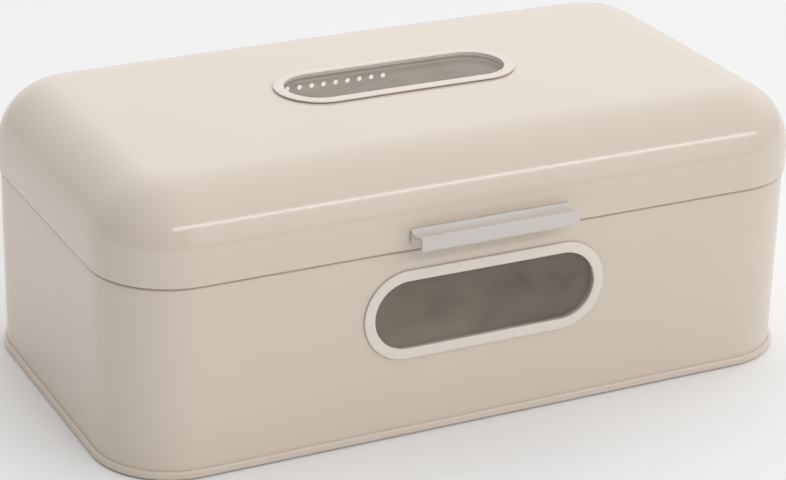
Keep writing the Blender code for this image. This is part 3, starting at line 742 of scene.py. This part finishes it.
def plug(radius):
    """Half section of a round cutter."""
    return [(0, CUT_DEPTH), (radius, CUT_DEPTH), (radius, -CUT_DEPTH), (0, -CUT_DEPTH)]


def window_hole(where, shell, window):
    """Cutter for a window's hole in its sheet."""
    section = plug(window_radius(window) + window.collar + shell.gap)
    cutter = object_of(swept(stadium_stations(window.steps), section), "window_hole")
    place_mesh(cutter, *window_seat(where, shell))
    return cutter


def punches(radius, columns, pitch, place):
    """Cutter for a row of round holes through the front or the back."""
    punch = turned("punch", plug(radius), PUNCH_STEPS)
    made = fitting_rows("punches", punch, columns, pitch)
    place_mesh(made, place, BACK_TURN)
    return made


def rivet_holes(place, shell, hinge):
    return punches(hinge.rivet_radius + shell.gap, 2, RIVET_PITCH, place)


def screw_holes(shell, handle):
    place = (0, LID_LOW.y, SCREW.z)
    return punches(handle.screw_radius + shell.gap, 2, 2 * SCREW.x, place)


class BreadBoxOperator:
    """What every operator here shares."""
    bl_options = {"REGISTER", "UNDO"}


# Painted sheets

SHOULDER_STEPS = 10
WALL_STEPS = 10
ROLL_STEPS = 14
SEAM_STEPS = 8
BOTTOM_BEND = 1.2 * MM
BEND_STEPS = 6
HEM_STEPS = 10
EDGE_STEPS = 28
VENT_STEPS = 24


class BREADBOX_OT_base_wall(BreadBoxOperator, bpy.types.Operator):
    """Wall of the body, from its foot flange to its rolled rim"""
    bl_idname = "breadbox.base_wall"
    bl_label = "Base wall"

    def section(self, shell):
        wall = shell.corner_radius - shell.sheet / 2
        neck = wall - shell.shoulder_in
        seam_out = SEAM_SIZE.x / 2 - (LID_SIZE.x / 2 - shell.overhang)
        flange = WALL_LOW.z + shell.sheet / 2
        neck_level = LID_LOW.z - shell.rest_gap
        shoulder = neck_level - shell.shoulder_rise
        roll = neck_level + shell.neck_rise
        foot = shell.corner_radius + seam_out - shell.sheet - shell.gap
        points = [(foot, flange), (wall, flange)]
        points += [(wall, flange + (shoulder - flange) * step / WALL_STEPS)
                   for step in range(1, WALL_STEPS)]
        for step in range(SHOULDER_STEPS + 1):
            share = step / SHOULDER_STEPS
            inwards = shell.shoulder_in * (1 - math.cos(math.pi * share)) / 2
            points.append((wall - inwards, shoulder + shell.shoulder_rise * share))
        points += arc(neck - shell.rim_roll, roll, shell.rim_roll, 0, 225, ROLL_STEPS)
        return points

    def execute(self, context):
        shell, window, hinge = sizes("shell", "window", "hinge")
        stations = body_outline(shell)[2]
        wall = object_of(swept(stations, self.section(shell)), "painted_wall")
        place_mesh(wall, (0, MIDDLE_Y, 0))
        thicken(wall, shell.sheet)
        cut(wall, window_hole("front", shell, window))
        for place_x, _ in HINGE_SIDES:
            place = (place_x, BACK_FACE - shell.overhang, BASE_RIVET.z)
            cut(wall, rivet_holes(place, shell, hinge))
        settle(wall)
        dress(wall, "cream_enamel", "base", "cream_paint", "base_wall")
        return {"FINISHED"}


class BREADBOX_OT_base_bottom(BreadBoxOperator, bpy.types.Operator):
    """Bottom sheet, with its edge rolled over the wall's foot"""
    bl_idname = "breadbox.base_bottom"
    bl_label = "Base bottom"

    def execute(self, context):
        shell, = sizes("shell")
        half_x, half_y, stations = body_outline(shell)
        edge = SEAM_SIZE.x / 2 - (LID_SIZE.x / 2 - shell.overhang) + shell.corner_radius
        skirt = shell.corner_radius - 1.5 * shell.sheet - shell.gap
        level = BOTTOM_LOW.z + shell.sheet / 2
        out = edge - shell.sheet / 2 - shell.seam_round
        top = BOTTOM_LOW.z + shell.seam_height - shell.sheet / 2
        section = [(0, shell.floor_level)]
        section += arc(skirt - BOTTOM_BEND, shell.floor_level - BOTTOM_BEND, BOTTOM_BEND, 90, 0,
                       BEND_STEPS)
        section += [(skirt, level)]
        section += arc(out, level + shell.seam_round, shell.seam_round, -90, 0, SEAM_STEPS)
        section += arc(out, top - shell.seam_round, shell.seam_round, 0, 90, SEAM_STEPS)
        section += [(shell.corner_radius + shell.gap * 0.25, top)]
        shape = swept(stations, section)
        fill_middle(shape, half_x, half_y, shell.floor_level, shell)
        bottom = object_of(shape, "rolled_bottom")
        place_mesh(bottom, (0, MIDDLE_Y, 0))
        thicken(bottom, shell.sheet)
        settle(bottom)
        dress(bottom, "cream_enamel", "base", "cream_paint", "base_bottom")
        return {"FINISHED"}


class BREADBOX_OT_lid(BreadBoxOperator, bpy.types.Operator):
    """Drawn lid with its folded edge, rounded shoulders and crowned top"""
    bl_idname = "breadbox.lid"
    bl_label = "Lid"

    def section(self, shell):
        band = shell.corner_radius + shell.overhang - shell.sheet / 2
        bend_level = LID_LOW.z + shell.sheet / 2 + shell.hem_bend
        radius = shell.edge_radius - shell.sheet / 2
        edge_level = LID_HIGH.z - shell.crown - shell.edge_radius
        points = [(band - 2 * shell.hem_bend, bend_level + shell.hem_height)]
        points += arc(band - shell.hem_bend, bend_level, shell.hem_bend, -180, 0, HEM_STEPS)
        points += [(band, bend_level + (edge_level - bend_level) * step / 3)
                   for step in (1, 2)]
        points += arc(band - radius, edge_level, radius, 0, 90, EDGE_STEPS)
        points += [((band - radius) / 2, edge_level + radius), (0, edge_level + radius)]
        return points, edge_level, radius

    def execute(self, context):
        shell, window, handle, hinge = sizes("shell", "window", "handle", "hinge")
        half_x, half_y, stations = body_outline(shell)
        section, edge_level, radius = self.section(shell)
        shape = swept(stations, section)
        fill_middle(shape, half_x, half_y, edge_level + radius, shell)
        for vert in shape.verts:
            share = max(0, min(1, (vert.co.z - edge_level) / radius))
            lift = shell.crown - crown_drop(vert.co.x, vert.co.y + MIDDLE_Y, shell)
            vert.co.z += lift * share
        lid = object_of(shape, "painted_lid")
        place_mesh(lid, (0, MIDDLE_Y, 0))
        thicken(lid, shell.sheet)
        cut(lid, window_hole("top", shell, window))
        vents = (0, BACK_FACE, LID_LOW.z + hinge.vent_rise)
        cut(lid, punches(hinge.vent_radius, hinge.vents, hinge.vent_pitch, vents))
        cut(lid, screw_holes(shell, handle))
        for place_x, _ in HINGE_SIDES:
            cut(lid, rivet_holes((place_x, BACK_FACE, LID_RIVET.z), shell, hinge))
        settle(lid)
        dress(lid, "cream_enamel", "lid", "cream_paint", "lid_shell")
        return {"FINISHED"}


class BREADBOX_OT_vents(BreadBoxOperator, bpy.types.Operator):
    """Beads of paint round the punched vents"""
    bl_idname = "breadbox.vents"
    bl_label = "Vent lips"

    def execute(self, context):
        shell, hinge = sizes("shell", "hinge")
        lip = hinge.vent_lip
        half = shell.sheet / 2 + lip
        stations = [(Vector((0, 0)), Vector((math.cos(angle), math.sin(angle))))
                    for angle in (2 * math.pi * step / VENT_STEPS
                                  for step in range(VENT_STEPS))]
        section = arc(hinge.vent_radius, half - lip, lip, 90, 180, 3)
        section += arc(hinge.vent_radius, lip - half, lip, 180, 270, 3)
        section += [(hinge.vent_radius + lip, -half), (hinge.vent_radius + lip, half)]
        lip_ring = object_of(swept(stations, section, closed=True), "vent_lip")
        lips = fitting_rows("vent_lips", lip_ring, hinge.vents, hinge.vent_pitch)
        place = (0, BACK_FACE - shell.sheet / 2, LID_LOW.z + hinge.vent_rise)
        place_mesh(lips, place, BACK_TURN)
        dress(lips, "cream_enamel", "lid", "cream_paint")
        return {"FINISHED"}


# Windows

BEZEL_DRAFT = 0.1 * MM
UNDERCUT_IN = 1.3 * MM
UNDERCUT_OUT = 0.8 * MM
UNDERCUT_RISE = 0.45 * MM
RIM_DRAFT = 0.06 * MM
RETAINER_ROUND = 0.4 * MM


class BREADBOX_OT_windows(BreadBoxOperator, bpy.types.Operator):
    """Bezels, panes and retainer rings of both windows"""
    bl_idname = "breadbox.windows"
    bl_label = "Windows"

    def bezel_section(self, shell, window):
        inner = window_radius(window)
        outer = inner + window.ring_width
        collar = inner + window.collar
        radius = window.ring_round
        proud = window.ring_proud
        low = proud - window.ring_dish
        foot = shell.gap
        points = [(inner + BEZEL_DRAFT, -shell.sheet), (collar, -shell.sheet), (collar, foot)]
        points += [(outer - UNDERCUT_IN, foot), (outer - UNDERCUT_OUT, foot + UNDERCUT_RISE),
                   (outer - RIM_DRAFT, foot + UNDERCUT_RISE)]
        points += arc(outer - radius, low - radius, radius, 0, 90, 5)
        points += arc(inner + radius, proud - radius, radius, 90, 180, 6)
        return points

    def retainer_section(self, shell, window):
        inner = window_radius(window) + window.retainer_lip
        pocket = window_radius(window) + window.pane_lap + shell.gap
        outer = pocket + window.retainer_wall
        face = -shell.sheet - shell.gap
        floor = face - window.pane - shell.gap
        back = floor - window.retainer_floor
        radius = RETAINER_ROUND
        points = [(inner, floor), (pocket, floor), (pocket, face), (outer, face)]
        points += arc(outer - radius, back + radius, radius, 0, -90, 4)
        points += arc(inner + radius, back + radius, radius, -90, -180, 4)
        return points

    def pane_section(self, shell, window):
        outer = window_radius(window) + window.pane_lap
        raised = window_radius(window) - shell.gap
        front = -shell.sheet - shell.gap
        back = front - window.pane
        chamfer = window.pane_chamfer
        rings = [raised * step / 4 for step in range(4)]
        top = window.pane_raised
        points = [(ring, top) for ring in rings]
        points += [(raised - chamfer, top), (raised, top - chamfer), (raised, front)]
        points += [(outer - chamfer, front), (outer, front - chamfer), (outer, back + chamfer)]
        points += [(outer - chamfer, back)]
        return points + [(ring, back) for ring in reversed(rings)]

    def ring(self, name, section, window, stations):
        """Ring carried along the bezel's outer edge."""
        reach = window_radius(window) + window.ring_width
        path = [centre + direction * reach for centre, direction in stations]
        return carried(name, [(out - reach, up) for out, up in section], path)

    def seat(self, piece, where, shell):
        if where == "top":
            for vert in piece.data.vertices:
                vert.co.z -= crown_drop(vert.co.x, vert.co.y + TOP_BEZEL.y, shell)
        place_mesh(piece, *window_seat(where, shell))
        piece.data.shade_smooth()
        sharpen(piece, 40)

    def execute(self, context):
        shell, window = sizes("shell", "window")
        stations = stadium_stations(window.steps)
        for where, body in (("front", "base"), ("top", "lid")):
            bezel = self.ring(f"{where}_ring", self.bezel_section(shell, window), window,
                              stations)
            retainer = self.ring(f"{where}_retainer", self.retainer_section(shell, window),
                                 window, stations)
            pane = object_of(swept(stations, self.pane_section(shell, window)),
                             f"{where}_pane")
            for piece, kind, finish, slot in (
                    (bezel, "bezel", "moulded_ring", "bezel_plastic"),
                    (retainer, "retainer", "moulded_retainer", "retainer_plastic"),
                    (pane, "pane", "pane_sheet", "clear_pane")):
                self.seat(piece, where, shell)
                dress(piece, finish, body, slot, f"{where}_window_{kind}")
        return {"FINISHED"}


# Handle


class BREADBOX_OT_handle(BreadBoxOperator, bpy.types.Operator):
    """Extruded handle: back plate, shallow cove and front face"""
    bl_idname = "breadbox.handle"
    bl_label = "Handle"

    def section(self, handle):
        """Closed outline in (y, z): plate's flat top, cove, face's flat top, inside."""
        back, front = HANDLE_HIGH.y, HANDLE_LOW.y
        bottom, top = HANDLE_LOW.z, HANDLE_HIGH.z
        cove = (back - handle.plate_top, front + handle.face_top)
        half = (cove[0] - cove[1]) / 2
        centre = (cove[0] + cove[1]) / 2
        radius = (half ** 2 + handle.dip ** 2) / (2 * handle.dip)
        lean = math.degrees(math.asin(half / radius))
        level = top + radius - handle.dip
        upper = arc(centre, level, radius, -90 + lean, -90 - lean, handle.cove_steps)
        inner = (back - front) / 2 - handle.wall
        lower_radius = radius + handle.wall
        aside = centre - (back + front) / 2
        lean = math.degrees(math.asin((inner + aside) / lower_radius))
        lean_back = math.degrees(math.asin((inner - aside) / lower_radius))
        under = arc(centre, level, lower_radius, -90 - lean, -90 + lean_back,
                    handle.cove_steps)
        return ([(back, bottom), (back, top)] + upper + [(front, top), (front, bottom),
                (front + handle.wall, bottom)] + under + [(back - handle.wall, bottom)])

    def execute(self, context):
        shell, handle = sizes("shell", "handle")
        section = [(-y, z) for y, z in self.section(handle)]
        bar = carried("pull_handle", section, [(HANDLE_LOW.x, 0), (HANDLE_HIGH.x, 0)],
                      cyclic=False)
        cut(bar, screw_holes(shell, handle))
        soften(bar, handle.edge)
        settle(bar, 25)
        dress(bar, "anodised_handle", "lid", "satin_aluminium", "handle")
        return {"FINISHED"}


THREAD_PITCH = 0.45 * MM
THREAD_DEPTH = 0.2 * MM
THREAD_START = 0.3 * MM
SCREW_POINT = 0.4 * MM
HEAD_RIM = 0.35
RECESS_HALF = 0.35 * MM
RECESS_ARM = 1.5 * MM
RECESS_DEPTH = 1.2 * MM


class BREADBOX_OT_screws(BreadBoxOperator, bpy.types.Operator):
    """Pan-head screws that hold the handle from inside the lid"""
    bl_idname = "breadbox.screws"
    bl_label = "Handle screws"

    def execute(self, context):
        shell, handle = sizes("shell", "handle")
        head = shell.sheet + shell.gap
        top = head + handle.head_height
        tip = -shell.gap - handle.wall - handle.tip
        thread = handle.screw_radius
        profile = [(0, top)]
        profile += [(handle.head_radius * math.sin(angle), head + handle.head_height
                     * (HEAD_RIM + (1 - HEAD_RIM) * math.cos(angle)))
                    for angle in (math.radians(15 * step) for step in range(1, 7))]
        profile += [(handle.head_radius, head), (thread, head)]
        for turn in range(int((head - tip - thread) / THREAD_PITCH)):
            level = head - THREAD_START - turn * THREAD_PITCH
            profile += [(thread, level), (thread - THREAD_DEPTH, level - THREAD_PITCH / 2)]
        profile += [(thread, tip + SCREW_POINT), (thread - SCREW_POINT, tip), (0, tip)]
        screw = turned("screw", profile)
        recess = outlined("recess", [self.cross(RECESS_HALF, RECESS_ARM)], 2 * RECESS_DEPTH)
        place_mesh(recess, (0, 0, top))
        cut(screw, recess)
        screws = fitting_rows("handle_screws", screw, 2, 2 * SCREW.x)
        place_mesh(screws, (0, LID_LOW.y, SCREW.z), BACK_TURN)
        sharpen(screws, 30)
        dress(screws, "plated_zinc", "lid", "zinc_steel", "handle_screw_left",
              "handle_screw_right")
        return {"FINISHED"}

    def cross(self, half, arm):
        """Outline of the recess, with its inner corners a little open."""
        inner = 1.15 * half
        quarter = [(arm, half), (inner, inner), (half, arm)]
        points = []
        for turn in range(4):
            angle = math.pi / 2 * turn
            points += [(x * math.cos(angle) - y * math.sin(angle),
                        x * math.sin(angle) + y * math.cos(angle)) for x, y in quarter]
        return points


# Hinges, rivets and feet


STOP_ANGLE = 103
LEAF_EDGE = 0.12 * MM
BLOCK_REACH = 20 * MM
PIN_DOME = 0.5 * MM


class BREADBOX_OT_hinges(BreadBoxOperator, bpy.types.Operator):
    """Leaves and pins of both hinges"""
    bl_idname = "breadbox.hinges"
    bl_label = "Hinges"

    def base_outline(self, shell, hinge):
        out = HINGE_AXIS.y - (BACK_FACE - shell.overhang)
        back = -out + shell.gap
        front = back + hinge.leaf
        low = -hinge.knuckle - hinge.leaf_height
        knuckle = arc(0, 0, hinge.knuckle, -100, 180, hinge.knuckle_steps)
        return [(back, low), (front, low), (front, -hinge.leaf_jog)] + knuckle + [
            (back, -hinge.knuckle)]

    def lid_outline(self, shell, hinge):
        out = HINGE_AXIS.y - (BACK_FACE - shell.overhang)
        back = -out + shell.overhang + shell.gap
        front = back + hinge.leaf
        high = hinge.knuckle + hinge.leaf_height
        meet = math.degrees(math.acos(front / hinge.knuckle))
        corner = math.hypot(hinge.stop_reach, hinge.stop_width / 2)
        lead = math.degrees(math.atan2(hinge.stop_width / 2, hinge.stop_reach))
        contact = math.degrees(math.acos((out - shell.gap - hinge.leaf) / corner)) - 180
        stop = contact + lead + STOP_ANGLE
        half_lug = math.degrees(math.asin(hinge.stop_width / 2 / hinge.knuckle))
        turn = math.radians(stop)
        along = Vector((math.cos(turn), math.sin(turn)))
        beside = Vector((-along.y, along.x)) * hinge.stop_width / 2
        tip = along * hinge.stop_reach
        lug = [tuple(tip + beside), tuple(tip - beside)]
        upper = arc(0, 0, hinge.knuckle, meet, stop + half_lug, hinge.knuckle_steps // 2)
        lower = arc(0, 0, hinge.knuckle, stop - half_lug, -180, hinge.knuckle_steps // 2)
        foot = (back, hinge.knuckle / 2)
        return [(back, high), (front, high)] + upper + lug + lower + [foot]

    def block(self, place_x, low, high, width):
        """Cutter across a leaf; low and high are heights about the axis."""
        shape = bmesh.new()
        bmesh.ops.create_cube(shape, size=1)
        bmesh.ops.scale(shape, verts=shape.verts, vec=(width, BLOCK_REACH, high - low))
        block = object_of(shape, "block")
        place_mesh(block, (place_x, HINGE_AXIS.y, HINGE_AXIS.z + (high + low) / 2))
        return block

    def leaf(self, place_x, side, body, outline, cutters, rivet_level):
        shell, hinge = sizes("shell", "hinge")
        bore = arc(0, 0, hinge.bore, 0, 360, hinge.knuckle_steps)[:-1]
        leaf = outlined(f"{side}_{body}_leaf", [outline, bore], hinge.width)
        place_mesh(leaf, (place_x, HINGE_AXIS.y, HINGE_AXIS.z), LEAF_TURN)
        for low, high, width, offset in cutters:
            cut(leaf, self.block(place_x + offset, low, high, width))
        cut(leaf, rivet_holes((place_x, BACK_FACE, rivet_level), shell, hinge))
        soften(leaf, LEAF_EDGE, 50)
        settle(leaf, 35)
        dress(leaf, "plated_zinc", body, "zinc_steel", f"hinge_{side}_{body}_leaf")

    def pin(self, place_x, side):
        radius, half = PIN_SIZE.z / 2, PIN_SIZE.x / 2
        end = [(radius * math.cos(angle), half - PIN_DOME * (1 - math.sin(angle)))
               for angle in (math.radians(15 * step) for step in range(7))]
        profile = end[::-1] + [(out, -level) for out, level in end]
        pin = turned(f"{side}_hinge_pin", profile, FASTENER_STEPS)
        place_mesh(pin, (place_x, HINGE_AXIS.y, HINGE_AXIS.z), SIDE_TURN)
        sharpen(pin, 35)
        dress(pin, "plated_zinc", "base", "zinc_steel", f"hinge_{side}_pin")

    def execute(self, context):
        shell, hinge = sizes("shell", "hinge")
        notch = hinge.middle + 2 * hinge.play
        clear = hinge.knuckle + hinge.play
        outer = (hinge.width + hinge.middle) / 2
        for place_x, side in HINGE_SIDES:
            self.leaf(place_x, side, "base", self.base_outline(shell, hinge),
                      [(-hinge.leaf_jog - hinge.play, 2 * clear, notch, 0)], BASE_RIVET.z)
            self.leaf(place_x, side, "lid", self.lid_outline(shell, hinge),
                      [(-2 * clear, clear, hinge.width, way * outer) for way in (-1, 1)],
                      LID_RIVET.z)
            self.pin(place_x, side)
        return {"FINISHED"}


RIVET_EDGE = 0.25 * MM


class BREADBOX_OT_rivets(BreadBoxOperator, bpy.types.Operator):
    """Domed rivets through the leaves and the sheets"""
    bl_idname = "breadbox.rivets"
    bl_label = "Rivets"

    def rivet(self, shell, hinge):
        head = 2 * shell.gap + hinge.leaf
        tail = -shell.sheet - shell.gap
        end = tail - hinge.tail_rise
        edge = RIVET_EDGE
        profile = [(hinge.rivet_head * math.sin(angle),
                    head + hinge.rivet_rise * math.cos(angle))
                   for angle in (math.radians(11.25 * step) for step in range(9))]
        profile += [(hinge.rivet_radius, head), (hinge.rivet_radius, tail)]
        profile += [(hinge.tail_radius, tail), (hinge.tail_radius, end + edge),
                    (hinge.tail_radius - edge, end), (hinge.tail_radius * 0.4, end),
                    (0, end + edge)]
        return turned("rivet", profile, FASTENER_STEPS)

    def execute(self, context):
        shell, hinge = sizes("shell", "hinge")
        for place_x, side in HINGE_SIDES:
            for body, face, level in (("base", BACK_FACE - shell.overhang, BASE_RIVET.z),
                                      ("lid", BACK_FACE, LID_RIVET.z)):
                pair = fitting_rows(f"{side}_{body}_rivets", self.rivet(shell, hinge), 2,
                                    RIVET_PITCH)
                place_mesh(pair, (place_x, face, level), BACK_TURN)
                sharpen(pair, 35)
                dress(pair, "plated_zinc", body, "zinc_steel",
                      f"hinge_{side}_{body}_rivet_outer", f"hinge_{side}_{body}_rivet_inner")
        return {"FINISHED"}


FOOT_ROUND = 0.5 * MM
FOOT_DISH = 0.3 * MM


class BREADBOX_OT_feet(BreadBoxOperator, bpy.types.Operator):
    """Four turned rubber feet"""
    bl_idname = "breadbox.feet"
    bl_label = "Feet"

    def execute(self, context):
        radius = FOOT_SIZE.x / 2
        top = FOOT_SIZE.z
        edge = FOOT_ROUND
        dish = FOOT_DISH
        profile = [(0, top), (radius - edge, top)]
        profile += arc(radius - edge, top - edge, edge, 90, 0, 4)
        profile += arc(radius - edge, edge, edge, 0, -90, 4)
        profile += [(radius * 0.6, 0), (radius * 0.5, dish), (0, dish)]
        foot = turned("foot", profile)
        feet = fitting_rows("rubber_feet", foot, 2, 2 * FOOT_MIDDLE.x, 2,
                            2 * (FOOT_MIDDLE.y - MIDDLE_Y))
        place_mesh(feet, (0, MIDDLE_Y, FOOT_LOW.z))
        sharpen(feet, 35)
        dress(feet, "foot_rubber", "base", "rubber", "foot_front_left", "foot_front_right",
              "foot_rear_left", "foot_rear_right")
        return {"FINISHED"}


# Stage


TENT_LEAST = 0.19
TENT_ABOVE = 0.85
TENT_BEHIND = 0.7
TENT_RIGHT = 0.55
SOFTBOXES = {
    "front_fill": ((0.9, -2.4, 0.9), (0, 0, 0.1), (1.6, 1.2), 4),
    "front_strip": ((0.96, -2.0, 1.56), (0.96, 0, 0.1), (3.4, 0.16), 13),
}


class BREADBOX_OT_stage(BreadBoxOperator, bpy.types.Operator):
    """Pale floor, soft lights and the camera"""
    bl_idname = "breadbox.stage"
    bl_label = "Stage"

    def softbox(self, name, place, aim, size, power):
        data = bpy.data.lights.new(name, "AREA")
        data.shape = "RECTANGLE"
        data.size, data.size_y = size
        data.energy = power
        light = linked(name, data)
        light.location = place
        way = Vector(aim) - Vector(place)
        light.rotation_euler = way.to_track_quat("-Z", "Y").to_euler()

    def surroundings(self):
        """Tent of light: brighter above, behind and to the right."""
        world = bpy.data.worlds.new("studio")
        bpy.context.scene.world = world
        world.use_nodes = True
        tree = world.node_tree
        back = tree.nodes["Background"].inputs
        back["Color"].default_value = (1, 1, 1, 1)
        way = node(tree, "ShaderNodeSeparateXYZ",
                   {"Vector": node(tree, "ShaderNodeTexCoord")["Generated"]})
        tent = TENT_LEAST
        for axis, strength in (("Z", TENT_ABOVE), ("Y", TENT_BEHIND)):
            part = maths(tree, "MAXIMUM", way[axis], 0.0)
            tent = maths(tree, "ADD", maths(tree, "MULTIPLY", part, strength), tent)
        side = maths(tree, "ADD", maths(tree, "MULTIPLY", way["X"], TENT_RIGHT), 1.0)
        feed(tree, back["Strength"], maths(tree, "MULTIPLY", tent, side))

    def floor(self, stage):
        shape = bmesh.new()
        bmesh.ops.create_grid(shape, x_segments=2, y_segments=2, size=stage.floor_size / 2)
        floor = object_of(shape, "floor")
        material = bpy.data.materials.new("pale_floor")
        material.use_nodes = True
        shader = material.node_tree.nodes["Principled BSDF"]
        shader.inputs["Base Color"].default_value = (*stage.floor, 1)
        shader.inputs["Roughness"].default_value = 0.9
        floor.data.materials.append(material)

    def camera(self, stage):
        data = bpy.data.cameras.new("camera")
        data.lens = stage.lens
        data.clip_end = 50
        camera = linked("camera", data)
        turn, rise = stage.azimuth, stage.elevation
        back = Vector((math.sin(turn) * math.cos(rise), -math.cos(turn) * math.cos(rise),
                       math.sin(rise)))
        camera.location = Vector(stage.aim) + back * stage.distance
        level = back.to_track_quat("Z", "Y").to_matrix().to_4x4()
        camera.rotation_euler = (level @ Matrix.Rotation(stage.roll, 4, "Z")).to_euler()
        bpy.context.scene.camera = camera

    def execute(self, context):
        stage, = sizes("stage")
        context.scene.view_settings.view_transform = "Standard"
        self.surroundings()
        self.floor(stage)
        self.camera(stage)
        for name, (place, aim, size, power) in SOFTBOXES.items():
            self.softbox(name, place, aim, size, power)
        return {"FINISHED"}


OPERATORS = (BREADBOX_OT_base_wall, BREADBOX_OT_base_bottom, BREADBOX_OT_feet,
             BREADBOX_OT_lid, BREADBOX_OT_vents, BREADBOX_OT_windows, BREADBOX_OT_handle,
             BREADBOX_OT_screws, BREADBOX_OT_hinges, BREADBOX_OT_rivets, BREADBOX_OT_stage)


class BREADBOX_PT_pieces(bpy.types.Panel):
    """Bread box pieces and their sizes"""
    bl_label = "Bread box"
    bl_idname = "BREADBOX_PT_pieces"
    bl_space_type = "VIEW_3D"
    bl_region_type = "UI"
    bl_category = "Bread box"

    def draw(self, context):
        for group in GROUPS:
            box = self.layout.box()
            for name in group.__annotations__:
                box.prop(getattr(context.scene, GROUPS[group]), name)
        for operator in OPERATORS:
            self.layout.operator(operator.bl_idname)


GROUPS = {BreadBoxShell: "bread_box_shell", BreadBoxWindow: "bread_box_window",
          BreadBoxHandle: "bread_box_handle", BreadBoxHinge: "bread_box_hinge",
          BreadBoxFinish: "bread_box_finish", BreadBoxStage: "bread_box_stage"}
CLASSES = (*GROUPS, *OPERATORS, BREADBOX_PT_pieces)


def register():
    for item in CLASSES:
        bpy.utils.register_class(item)
    for group, name in GROUPS.items():
        setattr(bpy.types.Scene, name, PointerProperty(type=group))


def unregister():
    for name in GROUPS.values():
        delattr(bpy.types.Scene, name)
    for item in reversed(CLASSES):
        bpy.utils.unregister_class(item)


def main():
    register()
    for operator in OPERATORS:
        family, name = operator.bl_idname.split(".")
        getattr(getattr(bpy.ops, family), name)()


if __name__ == "__main__":
    main()
